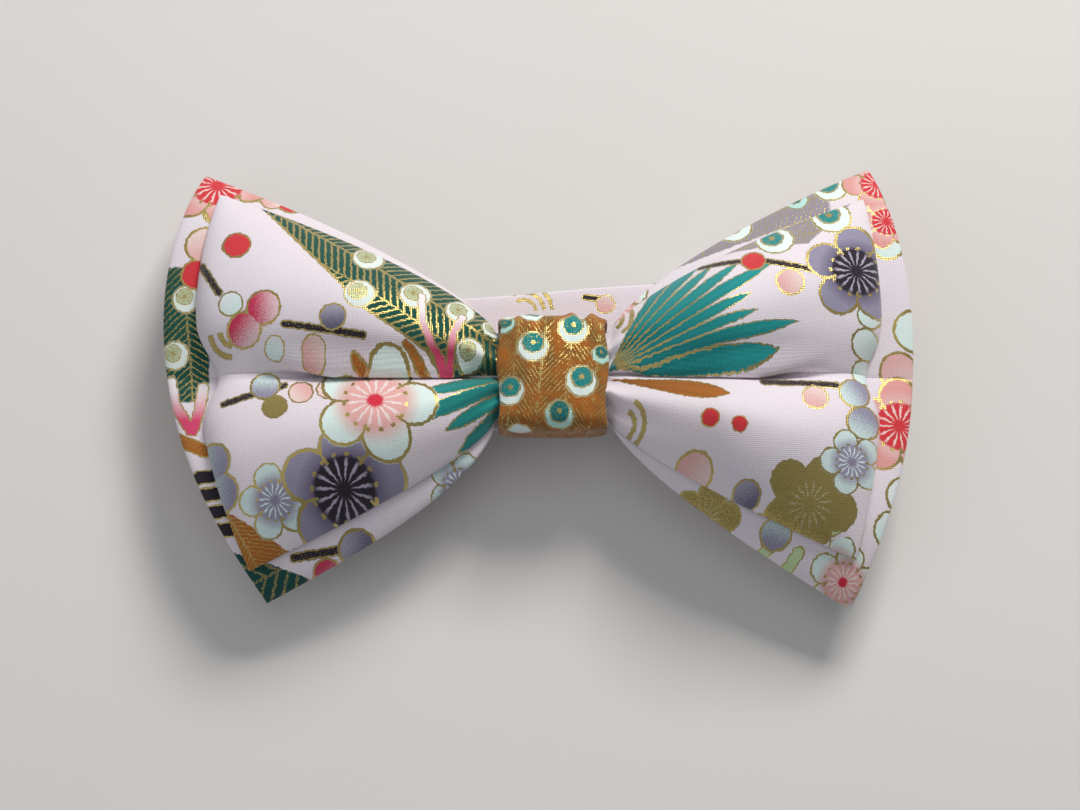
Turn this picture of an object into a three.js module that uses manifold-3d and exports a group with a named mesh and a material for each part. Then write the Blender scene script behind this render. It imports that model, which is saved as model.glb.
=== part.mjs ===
// A pre-tied two-layer bow tie, lying face up on its own folded neck strap.
// Millimetres. +X runs along the bow, +Y to its top edge, +Z up out of its face.
// Each piece of cloth, thread and metal is one closed mesh, and pieces that touch keep FIT_GAP.
import * as THREE from "three";
import { mergeVertices } from "three/addons/utils/BufferGeometryUtils.js";
import Module from "manifold-3d";

const wasm = await Module();
wasm.setup();

const FIT_GAP = 0.3; // left between two pieces that touch

// Neck strap: a flat doubled band, tacked behind the knot and folded up behind each wing.
const STRAP_WIDTH = 22;
const STRAP_THICK = 0.9;
const STRAP_TURN = THREE.MathUtils.degToRad(4.5); // how far the strap slants across the bow
const STRAP_RISE = 4.5; // strap's middle above the knot's middle
const LEFT_FOLD_X = 56; // from the knot to the outer fold behind the left wing
const RIGHT_FOLD_X = 53;
const INNER_FOLD_X = 13.6; // from the knot to the folds beside it
const LOWER_FOLD_INSET = 4; // how far the lower outer fold sits inside the upper one
const SEWN_RETURN = 13; // length of strap turned back round the eye
const HOOK_RETURN = 1; // how far past the hook's bar the strap's last stretch starts
const ADJUSTER_RETURN = 8; // length of strap turned back round the slider's centre bar

// Metal fittings, all carried on straight bars across the strap.
const SHEET_METAL = 0.8;
const RAIL_WIDTH = 1.4; // side arms of hook, eye and slider
const EYE_BAR_X = 21;
const HOOK_BAR_X = 22;
const SLIDER_X = 33.5;
const SLIDER_LENGTH = 10;
const SLIDER_BAR = 1.6;
const ARM_GAP = 0.4; // beside the strap's edges
const PLATE_DEPTH = 2; // flat bridge between a fitting's arms
const EYE_TIP_X = 8;
const HOOK_TIP_X = 9;
const TONGUE_WIDTH = 7;
const TONGUE_LAP = 5; // how far the hook's tongue turns back
const THROAT = 1.2;
const JOIN_LAP = 0.5; // how far two solids of one fitting run into each other

// The knot band, wrapped round both pinches.
const KNOT_WIDTH = 17.3;
const KNOT_HEIGHT = 18.8;
const KNOT_WALL = 0.8;
const KNOT_CROWN = 1.2; // how far its face swells
const INTERFACING_THICK = 0.35;
const INTERFACING_SHORT = 1; // how much narrower the knot's interfacing is than its cloth
const THREAD = 0.4;
const THREAD_TURNS = 5;
const THREAD_PITCH = 0.9;
const STITCH_INSET = 1.5; // from a seam's end to its first stitch
const TACK_SWING = 3;
const TACK_STITCHES = 6;
const OVERCAST_STITCHES = 9;

// The two bows. Corners are [x, y] from the knot's middle, the seams' upper and lower ends of each wing.
const BOW_WALL = 0.8; // doubled cotton
const PINCH_THICK = 2.6; // each bow, squeezed inside the knot
const BORDER = 3; // solid edge of a bow outside its hollow
const SLIT = { width: 1.2, height: 8, depth: 1.6 }; // in each bow's back, under the knot
const LINING_INSET = 6;
const LINING_PINCH_INSET = 1.5;
const LINING_EASE = 0.4; // more room over the interfacing out in the wings, where facets don't match
const VALLEY_EASE = 0.4; // least extra thickness of a wing over the pinch
const SEAM_THICK = 1.0; // along the top and bottom seams
const FOLD_THICK = 2.4; // along the outer fold
const REAR = {
  ridge: 6.0,
  valley: 0.55,
  left: { top: [-56.4, 35.2], bottom: [-45.1, -35.2], bulge: 10.5, notch: 0, swell: [0.72, 0.62] },
  right: { top: [51.4, 36.3], bottom: [47, -36.3], bulge: 8.1, notch: 0, swell: [0.7, 0.74] },
};
const FRONT = {
  ridge: 7.0,
  valley: 0.48,
  left: { top: [-53.5, 30.8], bottom: [-47.6, -30.9], bulge: 5.8, notch: 3.3, swell: [0.72, 0.72] },
  right: { top: [50, 29.7], bottom: [47.5, -29.3], bulge: 3.5, notch: 2.6, swell: [0.72, 0.74] },
};
const RIDGE_LIFT = 3.0; // how far the surface between the bows rises under each ridge
const SEAM_DROOP = 4.5; // how far it falls towards the seams
const FOLD_DROOP = 1.5; // and towards the outer folds
const RIDGE_FADE = 0.4; // share of a ridge that is lost at the outer fold
const RISE_SHARE = 0.4; // share of a wing's length over which it rises from the pinch
const PINCH_SHARE = 0.2; // share that still follows the pinch
const BACK_SLOPE = 0.8; // a bow's back falls this steeply beside the strap
const BACK_SAG = 4; // and this far
const NOTCH_WIDTH = 0.16; // share of the wing's half height

// Heights of the strap's layers, from the table up: each is the middle of its cloth.
const layerStep = STRAP_THICK + FIT_GAP;
const metalStep = layerStep + SHEET_METAL + FIT_GAP;
const returnLevel = STRAP_THICK / 2;
const sewnLevel = returnLevel + metalStep;
const runLevel = sewnLevel + layerStep;
const secondLevel = runLevel + metalStep;
const thirdLevel = secondLevel + layerStep;
const centreLevel = thirdLevel + layerStep;
const hingeLevel = (thirdLevel + centreLevel) / 2;
const strapTop = centreLevel + STRAP_THICK / 2;
const barLevel = (returnLevel + runLevel) / 2;
const barRadius = (runLevel - returnLevel - STRAP_THICK) / 2 - FIT_GAP;

// Heights through the knot, from the strap's upper face up.
const knotBottom = strapTop + FIT_GAP;
const liningBottom = knotBottom + KNOT_WALL + FIT_GAP;
const threadBottom = liningBottom + INTERFACING_THICK + FIT_GAP;
const rearPinchBottom = threadBottom + THREAD + FIT_GAP;
const nestLevel = rearPinchBottom + PINCH_THICK + FIT_GAP / 2; // between the two bows
const frontPinchTop = nestLevel + FIT_GAP / 2 + PINCH_THICK;
const threadTop = frontPinchTop + FIT_GAP + THREAD;
const liningTop = threadTop + FIT_GAP + INTERFACING_THICK;
const knotTop = liningTop + FIT_GAP + KNOT_WALL;

const liningHalf = KNOT_HEIGHT / 2 - KNOT_WALL - FIT_GAP;
const threadHalf = liningHalf - INTERFACING_THICK - FIT_GAP;
const pinchHalf = threadHalf - THREAD - FIT_GAP;
const pinchEnd = KNOT_WIDTH / 2 + FIT_GAP; // where the wings start to spread

const cotton = (color) => new THREE.MeshStandardMaterial({ color, roughness: 0.85, metalness: 0 });
const printedCotton = cotton(0xe2dadf);
const knotCotton = cotton(0x9a5f22);
const strapCotton = cotton(0xdcd4dc);
const interfacing = cotton(0xf4f2ec);
const sewingThread = cotton(0xcfc6bd);
const nickel = new THREE.MeshStandardMaterial({ color: 0xb9bcc0, roughness: 0.25, metalness: 1 });

const bowTie = new THREE.Group();
const strapFrame = new THREE.Group();
strapFrame.position.set(0, STRAP_RISE, 0);
strapFrame.rotation.z = STRAP_TURN;
bowTie.add(strapFrame);

function addPiece(parent, name, geometry, material) {
  const mesh = new THREE.Mesh(geometry, material);
  mesh.name = name;
  parent.add(mesh);
}

// ---------------------------------------------------------------- solids

function toSolid(geometry) {
  const bare = new THREE.BufferGeometry();
  bare.setAttribute("position", geometry.getAttribute("position"));
  bare.setIndex(geometry.index);
  const merged = mergeVertices(bare, 1e-4);
  return new wasm.Manifold(
    new wasm.Mesh({
      numProp: 3,
      vertProperties: merged.attributes.position.array,
      triVerts: new Uint32Array(merged.index.array),
    }),
  );
}

function toGeometry(solid) {
  const mesh = solid.getMesh();
  const geometry = new THREE.BufferGeometry();
  geometry.setAttribute("position", new THREE.BufferAttribute(mesh.vertProperties, 3));
  geometry.setIndex(new THREE.BufferAttribute(mesh.triVerts, 1));
  return geometry;
}

function join(geometries) {
  return toGeometry(geometries.map(toSolid).reduce((all, next) => all.add(next)));
}

function box(low, high) {
  const size = high.map((h, i) => h - low[i]);
  const geometry = new THREE.BoxGeometry(...size);
  return geometry.translate(...low.map((l, i) => l + size[i] / 2));
}

// A closed slab between two height fields over the same grid of plan points.
// column and row run over the grid, and point(column, row) gives {x, y, top, bottom}.
function slab(columns, rows, point) {
  const vertices = [];
  const faces = [];
  const across = rows.length;
  const count = columns.length * across;
  for (const side of ["top", "bottom"])
    for (const c of columns)
      for (const r of rows) {
        const p = point(c, r);
        vertices.push(p.x, p.y, p[side]);
      }
  const quad = (a, b, c, d) => faces.push(a, b, c, a, c, d);
  for (let i = 0; i < columns.length - 1; i++)
    for (let j = 0; j < across - 1; j++) {
      const a = i * across + j;
      const b = a + across;
      quad(a, b, b + 1, a + 1);
      quad(count + a, count + a + 1, count + b + 1, count + b);
    }
  for (let i = 0; i < columns.length - 1; i++)
    for (const [j, flip] of [
      [0, false],
      [across - 1, true],
    ]) {
      const a = i * across + j;
      const b = a + across;
      if (flip) quad(a, b, count + b, count + a);
      else quad(b, a, count + a, count + b);
    }
  for (let j = 0; j < across - 1; j++)
    for (const [i, flip] of [
      [0, false],
      [columns.length - 1, true],
    ]) {
      const a = i * across + j;
      if (flip) quad(a + 1, a, count + a, count + a + 1);
      else quad(a, a + 1, count + a + 1, count + a);
    }
  const geometry = new THREE.BufferGeometry();
  geometry.setAttribute("position", new THREE.Float32BufferAttribute(vertices, 3));
  geometry.setIndex(faces);
  return geometry;
}

// A flat band of even thickness that follows a path of THREE.Path in the strap's X-Z plane.
function band(path, width, thick) {
  const middle = path.getPoints(5);
  const side = (sign) =>
    middle.map((p, i) => {
      const before = middle[Math.max(i - 1, 0)];
      const after = middle[Math.min(i + 1, middle.length - 1)];
      const along = after.clone().sub(before).normalize();
      return new THREE.Vector2(p.x - (sign * along.y * thick) / 2, p.y + (sign * along.x * thick) / 2);
    });
  const outline = new THREE.Shape([...side(1), ...side(-1).reverse()]);
  const geometry = new THREE.ExtrudeGeometry(outline, { depth: width, bevelEnabled: false });
  return geometry.rotateX(Math.PI / 2).translate(0, width / 2, 0);
}

function threadAlong(points, steps, closed = false) {
  const section = new THREE.Shape();
  section.absarc(0, 0, THREAD / 2, 0, 2 * Math.PI);
  return new THREE.ExtrudeGeometry(section, {
    steps,
    curveSegments: 3,
    bevelEnabled: false,
    extrudePath: new THREE.CatmullRomCurve3(points, closed),
  });
}

// ---------------------------------------------------------------- the bows

// Plan outline of a wing: half heights along it and the reach of its outer fold.
function wingShape(side) {
  const sign = Math.sign(side.top[0]);
  const spread = ([x, y], power) => (away) => {
    const share = THREE.MathUtils.clamp((away - pinchEnd) / (Math.abs(x) - pinchEnd), 0, 1.3);
    return pinchHalf + (Math.abs(y) - pinchHalf) * share ** power;
  };
  const top = spread(side.top, side.swell[0]);
  const bottom = spread(side.bottom, side.swell[1]);
  // v runs from -1 on the lower seam to 1 on the upper one
  const reach = (v) => {
    const chord = THREE.MathUtils.lerp(Math.abs(side.bottom[0]), Math.abs(side.top[0]), (v + 1) / 2);
    const notch = side.notch * Math.exp(-((v / NOTCH_WIDTH) ** 2));
    return chord + side.bulge * (1 - v * v) - notch;
  };
  return { sign, top, bottom, reach };
}

const shapes = new Map(
  [REAR, FRONT].map((bow) => [bow, { left: wingShape(bow.left), right: wingShape(bow.right) }]),
);

function wingOf(bow, x) {
  return x < 0 ? shapes.get(bow).left : shapes.get(bow).right;
}

const bothRidges = (v) => Math.abs(Math.sin(Math.PI * v)) ** 0.8;

// Height of the surface on which the front bow lies on the rear one.
function nestHeight(x, y) {
  const wing = wingOf(REAR, x);
  const away = Math.abs(x);
  const half = y > 0 ? wing.top(away) : wing.bottom(away);
  const v = THREE.MathUtils.clamp(y / half, -1, 1);
  const out = THREE.MathUtils.clamp((away - pinchEnd) / (wing.reach(v) - pinchEnd), 0, 1);
  const lift = RIDGE_LIFT * Math.min(1, out / RISE_SHARE) ** 0.7 * (1 - RIDGE_FADE * out ** 3);
  const droop = SEAM_DROOP * out * v ** 4 + FOLD_DROOP * out ** 4;
  return nestLevel + lift * bothRidges(v) - droop;
}

// The rear bow's back stays above the strap wherever the strap passes.
function backFloor(x, y) {
  const strapY = (y - STRAP_RISE) * Math.cos(STRAP_TURN) - x * Math.sin(STRAP_TURN);
  const besideStrap = 2;
  const beyond = Math.abs(strapY) - STRAP_WIDTH / 2 - besideStrap;
  const clearOfStrap = strapTop + 2 * FIT_GAP;
  return clearOfStrap - THREE.MathUtils.clamp(beyond * BACK_SLOPE, 0, BACK_SAG);
}

function thickness(bow, out, v) {
  const body = THREE.MathUtils.lerp(PINCH_THICK, bow.ridge, Math.min(1, out / RISE_SHARE) ** 0.8);
  const cross = bow.valley + (1 - bow.valley) * bothRidges(v);
  const waist = PINCH_THICK + VALLEY_EASE * Math.min(1, out / 0.1);
  const full = Math.max(waist, body * cross);
  const edge = THREE.MathUtils.lerp(SEAM_THICK, FOLD_THICK, (1 - v * v) * out ** 4);
  const seam = Math.sqrt(1 - Math.abs(v) ** 7);
  const fold = Math.sqrt(1 - out ** 10);
  return edge + Math.max(0, full - edge) * seam * fold;
}

// One bow as a slab drawn in by inset on all sides and by skin from its faces.
// keep, where given, is the slab's own thickness under the upper skin.
function bowSlab(bow, inset, skin, keep) {
  const wingSteps = inset ? 8 : 11;
  const eased = Array.from({ length: wingSteps + 1 }, (_, i) => Math.sin((i / wingSteps) * (Math.PI / 2)));
  const columns = [...eased.map((u) => -u).reverse(), ...eased];
  const rowSteps = inset ? 14 : 18;
  const rows = Array.from({ length: rowSteps + 1 }, (_, j) => (2 * j) / rowSteps - 1);
  const pinchInset = Math.min(inset, 1) + (keep ? LINING_PINCH_INSET : 0);
  return slab(columns, rows, (column, v) => {
    const left = column < 0 || Object.is(column, -0);
    const wing = left ? shapes.get(bow).left : shapes.get(bow).right;
    const u = Math.abs(column);
    const reach = wing.reach(v) - inset;
    const away = pinchEnd + (reach - pinchEnd) * u;
    const cornerX = THREE.MathUtils.lerp(pinchEnd, wing.reach(Math.sign(v)) - inset, u);
    const half = v < 0 ? wing.bottom(cornerX) : wing.top(cornerX);
    const drawnIn = THREE.MathUtils.lerp(pinchInset, inset, Math.min(1, u / PINCH_SHARE));
    const y = v * (half - drawnIn);
    const x = wing.sign * away;
    const trueV = THREE.MathUtils.clamp(y / half, -1, 1);
    const out = THREE.MathUtils.clamp((away - pinchEnd) / (wing.reach(trueV) - pinchEnd), 0, 1);
    const thick = thickness(bow, out, trueV);
    const nest = nestHeight(x, y);
    let top;
    let bottom;
    if (bow === REAR) {
      top = nest - FIT_GAP / 2;
      bottom = Math.max(top - thick, u > 0 ? backFloor(x, y) : rearPinchBottom);
    } else {
      bottom = nest + FIT_GAP / 2;
      top = bottom + thick;
    }
    if (keep) {
      const liningTopHere = top - skin - LINING_EASE * Math.min(1, u / PINCH_SHARE);
      return { x, y, top: liningTopHere, bottom: liningTopHere - keep };
    }
    return { x, y, top: top - skin, bottom: bottom + skin };
  });
}

function bowCloth(bow) {
  const shell = toSolid(bowSlab(bow, 0, 0)).subtract(toSolid(bowSlab(bow, BORDER, BOW_WALL)));
  const slitTop = nestHeight(0, 0) + (bow === FRONT ? SLIT.depth : -SLIT.depth);
  const backSlit = box([-SLIT.width / 2, -SLIT.height / 2, 0], [SLIT.width / 2, SLIT.height / 2, slitTop]);
  return toGeometry(shell.subtract(toSolid(backSlit)));
}

addPiece(bowTie, "rear_bow_cloth", bowCloth(REAR), printedCotton);
addPiece(bowTie, "front_bow_cloth", bowCloth(FRONT), printedCotton);
const liningSkin = BOW_WALL + FIT_GAP;
for (const [name, bow] of [
  ["rear_bow_interfacing", REAR],
  ["front_bow_interfacing", FRONT],
])
  addPiece(bowTie, name, bowSlab(bow, LINING_INSET, liningSkin, INTERFACING_THICK), interfacing);

// ---------------------------------------------------------------- the knot

// Rounded outline in the bow's Y-Z plane, with its upper side swollen by crown.
function knotOutline(path, half, bottom, top, round, crown) {
  path.moveTo(-half + round, bottom);
  path.lineTo(half - round, bottom);
  path.quadraticCurveTo(half, bottom, half, bottom + round);
  path.lineTo(half, top - round);
  path.quadraticCurveTo(half, top, half - round, top + crown * 0.3);
  path.quadraticCurveTo(0, top + crown * 1.7, -half + round, top + crown * 0.3);
  path.quadraticCurveTo(-half, top, -half, top - round);
  path.lineTo(-half, bottom + round);
  path.quadraticCurveTo(-half, bottom, -half + round, bottom);
  return path;
}

function knotRing(width, outer, inner) {
  const section = knotOutline(new THREE.Shape(), ...outer);
  section.holes.push(knotOutline(new THREE.Path(), ...inner));
  const ring = new THREE.ExtrudeGeometry(section, { depth: width, curveSegments: 6, bevelEnabled: false });
  return ring.rotateX(Math.PI / 2).rotateZ(Math.PI / 2).translate(-width / 2, 0, 0);
}

const knotHalf = KNOT_HEIGHT / 2;
const knotRound = 2.5;
const wallRound = knotRound - KNOT_WALL;
addPiece(
  bowTie,
  "knot_cloth",
  knotRing(
    KNOT_WIDTH,
    [knotHalf, knotBottom, knotTop, knotRound, KNOT_CROWN],
    [knotHalf - KNOT_WALL, knotBottom + KNOT_WALL, knotTop - KNOT_WALL, wallRound, 0],
  ),
  knotCotton,
);
addPiece(
  bowTie,
  "knot_interfacing",
  knotRing(
    KNOT_WIDTH - INTERFACING_SHORT,
    [liningHalf, liningBottom, liningTop, wallRound, 0],
    [
      liningHalf - INTERFACING_THICK,
      liningBottom + INTERFACING_THICK,
      liningTop - INTERFACING_THICK,
      wallRound - INTERFACING_THICK,
      0,
    ],
  ),
  interfacing,
);

function woundThread() {
  const stepsPerTurn = 20;
  const squareness = 0.25;
  const half = threadHalf - THREAD / 2;
  const low = threadBottom + THREAD / 2;
  const high = threadTop - THREAD / 2;
  const points = [];
  for (let i = 0; i <= THREAD_TURNS * stepsPerTurn; i++) {
    const turn = i / stepsPerTurn;
    const angle = turn * 2 * Math.PI;
    const squared = (value) => Math.sign(value) * Math.abs(value) ** squareness;
    const y = half * squared(Math.cos(angle));
    const z = (low + high) / 2 + ((high - low) / 2) * squared(Math.sin(angle));
    points.push(new THREE.Vector3((turn - THREAD_TURNS / 2) * THREAD_PITCH, y, z));
  }
  return threadAlong(points, THREAD_TURNS * stepsPerTurn);
}
addPiece(bowTie, "gathering_thread", woundThread(), sewingThread);

// A zigzag row of stitches from one point to another, swinging by swing.
function stitchRow(from, to, swing, count) {
  const points = [];
  for (let i = 0; i <= 2 * count; i++) {
    const point = from.clone().lerp(to, i / (2 * count));
    points.push(point.addScaledVector(swing, i % 2 ? 0.5 : -0.5));
  }
  return threadAlong(points, 8 * count);
}

const tackReach = KNOT_WIDTH / 2 - STITCH_INSET;
const tackLevel = centreLevel - STRAP_THICK / 2 - FIT_GAP - THREAD / 2;
addPiece(
  strapFrame,
  "knot_tack_stitches",
  stitchRow(
    new THREE.Vector3(-tackReach, -STRAP_RISE, tackLevel),
    new THREE.Vector3(tackReach, -STRAP_RISE, tackLevel),
    new THREE.Vector3(0, TACK_SWING, 0),
    TACK_STITCHES,
  ),
  sewingThread,
);

// ---------------------------------------------------------------- the neck strap

addPiece(
  strapFrame,
  "strap_centre",
  box(
    [-LEFT_FOLD_X, -STRAP_WIDTH / 2, centreLevel - STRAP_THICK / 2],
    [RIGHT_FOLD_X, STRAP_WIDTH / 2, centreLevel + STRAP_THICK / 2],
  ),
  strapCotton,
);

// A tail drawn on the right: in from its outer fold, out again, in again and round a bar.
function tailPath(outerFold, barX, returnEnd) {
  const innerRadius = (thirdLevel - secondLevel) / 2;
  const lowerRadius = (secondLevel - runLevel) / 2;
  const barTurn = (runLevel - returnLevel) / 2;
  const innerX = INNER_FOLD_X + innerRadius + STRAP_THICK / 2;
  const lowerX = outerFold - LOWER_FOLD_INSET - lowerRadius - STRAP_THICK / 2;
  const path = new THREE.Path();
  path.moveTo(outerFold, thirdLevel);
  path.lineTo(innerX, thirdLevel);
  path.absarc(innerX, (thirdLevel + secondLevel) / 2, innerRadius, Math.PI / 2, (3 * Math.PI) / 2, false);
  path.lineTo(lowerX, secondLevel);
  path.absarc(lowerX, (secondLevel + runLevel) / 2, lowerRadius, Math.PI / 2, -Math.PI / 2, true);
  path.lineTo(barX, runLevel);
  path.absarc(barX, barLevel, barTurn, Math.PI / 2, (3 * Math.PI) / 2, false);
  path.lineTo(returnEnd, returnLevel);
  return path;
}

const leftReturnEnd = EYE_BAR_X + SEWN_RETURN;
const leftTail = band(tailPath(LEFT_FOLD_X, EYE_BAR_X, leftReturnEnd), STRAP_WIDTH, STRAP_THICK);
addPiece(strapFrame, "strap_left_tail", leftTail.rotateZ(Math.PI), strapCotton);

const rightReturnEnd = HOOK_BAR_X + HOOK_RETURN;
const rightTail = band(tailPath(RIGHT_FOLD_X, HOOK_BAR_X, rightReturnEnd), STRAP_WIDTH, STRAP_THICK);
addPiece(strapFrame, "strap_right_tail", rightTail, strapCotton);

// The strap's last stretch lies under the run and turns up round the slider's centre bar.
const adjusterRadius = (sewnLevel - returnLevel) / 2;
const adjusterTurnX = SLIDER_X + SLIDER_BAR / 2;
const adjusterMiddle = returnLevel + adjusterRadius;
const sewnEnd = SLIDER_X - ADJUSTER_RETURN;
const adjusterPath = new THREE.Path();
adjusterPath.moveTo(rightReturnEnd + FIT_GAP, returnLevel);
adjusterPath.lineTo(adjusterTurnX, returnLevel);
adjusterPath.absarc(adjusterTurnX, adjusterMiddle, adjusterRadius, -Math.PI / 2, Math.PI / 2, false);
adjusterPath.lineTo(sewnEnd, sewnLevel);
addPiece(strapFrame, "strap_adjuster_end", band(adjusterPath, STRAP_WIDTH, STRAP_THICK), strapCotton);

const overcastReach = STRAP_WIDTH / 2 - STITCH_INSET;
function overcast(x, low, high) {
  const middle = (low + high) / 2;
  const swing = new THREE.Vector3(0, 0, high - low - THREAD);
  const from = new THREE.Vector3(x, -overcastReach, middle);
  const to = new THREE.Vector3(x, overcastReach, middle);
  return stitchRow(from, to, swing, OVERCAST_STITCHES);
}
const leftEndX = -(leftReturnEnd + FIT_GAP + THREAD / 2);
const leftStitches = overcast(leftEndX, returnLevel, runLevel - STRAP_THICK / 2 - FIT_GAP);
addPiece(strapFrame, "eye_end_stitches", leftStitches, sewingThread);
const adjusterEndX = sewnEnd - FIT_GAP - THREAD / 2;
const returnTop = returnLevel + STRAP_THICK / 2;
const rightStitches = overcast(adjusterEndX, returnTop + FIT_GAP, sewnLevel + STRAP_THICK / 2);
addPiece(strapFrame, "slider_end_stitches", rightStitches, sewingThread);

// ---------------------------------------------------------------- the metal fittings

const armInner = STRAP_WIDTH / 2 + ARM_GAP;
const armOuter = armInner + RAIL_WIDTH;

function crossBar(x) {
  const bar = new THREE.CylinderGeometry(barRadius, barRadius, 2 * armOuter, 16);
  return bar.translate(x, 0, barLevel);
}

const plateLow = barLevel - SHEET_METAL / 2;
const plateHigh = barLevel + SHEET_METAL / 2;
const turnReach = (runLevel - returnLevel) / 2 + STRAP_THICK / 2 + FIT_GAP; // cloth round a bar

function sideArms(barX, plateX) {
  return [-1, 1].map((side) => {
    const inner = side * armInner;
    const outer = side * armOuter;
    return box(
      [plateX, Math.min(inner, outer), plateLow],
      [barX, Math.max(inner, outer), plateHigh],
    );
  });
}

// The eye: bar, arms and a flat plate with a slot for the hook.
const eyePlateX = EYE_BAR_X - turnReach;
const slotHalf = 5;
const slotRim = 1.6;
function eyePlate() {
  const plate = new THREE.Shape([
    new THREE.Vector2(eyePlateX - PLATE_DEPTH, armOuter),
    new THREE.Vector2(EYE_TIP_X, slotHalf + slotRim - 1),
    new THREE.Vector2(EYE_TIP_X, -slotHalf - slotRim + 1),
    new THREE.Vector2(eyePlateX - PLATE_DEPTH, -armOuter),
    new THREE.Vector2(eyePlateX, -armOuter),
    new THREE.Vector2(eyePlateX, armOuter),
  ]);
  const slot = new THREE.Path([
    new THREE.Vector2(EYE_TIP_X + slotRim, -slotHalf),
    new THREE.Vector2(EYE_TIP_X + slotRim, slotHalf),
    new THREE.Vector2(eyePlateX - slotRim, slotHalf),
    new THREE.Vector2(eyePlateX - slotRim, -slotHalf),
  ]);
  plate.holes.push(slot);
  const flat = new THREE.ExtrudeGeometry(plate, { depth: SHEET_METAL, bevelEnabled: false });
  return flat.translate(0, 0, plateLow);
}
const eye = join([crossBar(EYE_BAR_X), ...sideArms(EYE_BAR_X, eyePlateX - JOIN_LAP), eyePlate()]);
addPiece(strapFrame, "eye", eye.rotateZ(Math.PI), nickel);

// The hook: bar, arms, a cross plate and a tongue that turns back over itself.
const hookPlateX = HOOK_BAR_X - turnReach;
function hookTongue() {
  const bend = (THROAT + SHEET_METAL) / 2;
  const path = new THREE.Path();
  path.moveTo(hookPlateX - 2 * JOIN_LAP, barLevel);
  path.lineTo(HOOK_TIP_X + bend, barLevel);
  path.absarc(HOOK_TIP_X + bend, barLevel + bend, bend, (3 * Math.PI) / 2, Math.PI / 2, true);
  path.lineTo(HOOK_TIP_X + TONGUE_LAP, barLevel + 2 * bend);
  return band(path, TONGUE_WIDTH, SHEET_METAL);
}
const hookPlate = box([hookPlateX - PLATE_DEPTH, -armOuter, plateLow], [hookPlateX, armOuter, plateHigh]);
const hookArms = sideArms(HOOK_BAR_X, hookPlateX - JOIN_LAP);
addPiece(strapFrame, "hook", join([crossBar(HOOK_BAR_X), ...hookArms, hookPlate, hookTongue()]), nickel);

// The slider: its end bars lie over the run and its centre bar under it.
const endBarLow = runLevel + STRAP_THICK / 2 + FIT_GAP;
const centreBarLow = returnTop + FIT_GAP;
function sliderSide(side) {
  const reach = SLIDER_LENGTH / 2;
  const rail = new THREE.Shape([
    new THREE.Vector2(-reach, endBarLow),
    new THREE.Vector2(-SLIDER_BAR / 2, centreBarLow),
    new THREE.Vector2(SLIDER_BAR / 2, centreBarLow),
    new THREE.Vector2(reach, endBarLow),
    new THREE.Vector2(reach, endBarLow + SHEET_METAL),
    new THREE.Vector2(-reach, endBarLow + SHEET_METAL),
  ]);
  const plate = new THREE.ExtrudeGeometry(rail, { depth: RAIL_WIDTH, bevelEnabled: false });
  const centre = side * (armInner + RAIL_WIDTH / 2);
  return plate.rotateX(Math.PI / 2).translate(SLIDER_X, centre + RAIL_WIDTH / 2, 0);
}
function sliderBar(x, low) {
  const half = SLIDER_BAR / 2;
  const reach = armOuter - JOIN_LAP / 2;
  return box([x - half, -reach, low], [x + half, reach, low + SHEET_METAL]);
}
const endBarShift = SLIDER_LENGTH / 2 - SLIDER_BAR / 2;
const slider = join([
  sliderSide(-1),
  sliderSide(1),
  sliderBar(SLIDER_X - endBarShift, endBarLow),
  sliderBar(SLIDER_X + endBarShift, endBarLow),
  sliderBar(SLIDER_X, centreBarLow),
]);
addPiece(strapFrame, "slider", slider, nickel);

// The part's origin is the middle of its box, on the surface it lies on.
bowTie.updateMatrixWorld(true);
const extent = new THREE.Box3().setFromObject(bowTie);
const middle = extent.getCenter(new THREE.Vector3());
const placed = new THREE.Group();
bowTie.position.set(-middle.x, -middle.y, -extent.min.z);
placed.add(bowTie);

export default placed;
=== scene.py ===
"""A pre-tied two-layer cotton bow tie, face up on its own folded neck strap."""
import math

import bpy
import numpy as np
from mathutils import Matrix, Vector


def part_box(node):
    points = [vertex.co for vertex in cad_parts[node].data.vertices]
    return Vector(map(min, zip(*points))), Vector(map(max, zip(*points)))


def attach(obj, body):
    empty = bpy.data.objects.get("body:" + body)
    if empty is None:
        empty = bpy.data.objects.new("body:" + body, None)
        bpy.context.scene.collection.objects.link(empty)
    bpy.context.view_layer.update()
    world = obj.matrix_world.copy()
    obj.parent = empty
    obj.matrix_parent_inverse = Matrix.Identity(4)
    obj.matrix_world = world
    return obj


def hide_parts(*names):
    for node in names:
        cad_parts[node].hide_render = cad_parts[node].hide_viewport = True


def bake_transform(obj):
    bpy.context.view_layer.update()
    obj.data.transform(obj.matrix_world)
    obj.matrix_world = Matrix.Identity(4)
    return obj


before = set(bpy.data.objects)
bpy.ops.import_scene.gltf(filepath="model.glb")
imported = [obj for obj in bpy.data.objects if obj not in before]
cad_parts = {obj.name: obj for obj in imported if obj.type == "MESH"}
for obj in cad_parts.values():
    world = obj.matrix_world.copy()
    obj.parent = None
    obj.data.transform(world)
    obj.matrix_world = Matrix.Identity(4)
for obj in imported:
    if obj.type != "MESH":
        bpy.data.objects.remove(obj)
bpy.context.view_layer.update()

MM = 0.001

# ---------------------------------------------------------------- camera, light and floor

knot_low, knot_high = (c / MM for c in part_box("knot_cloth"))
KNOT_MIDDLE = (knot_low + knot_high) / 2
ELEVATION = math.radians(77)  # above the table
LENS = 110.0
FRAME_WIDTH = 169.0  # what the picture takes in at the knot's height, mm
AIM = Vector((KNOT_MIDDLE.x - 2.0, -5.8, knot_high.z - 1.0))  # the picture's middle, mm


def add_object(name, data):
    added = bpy.data.objects.new(name, data)
    bpy.context.scene.collection.objects.link(added)
    return added


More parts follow.
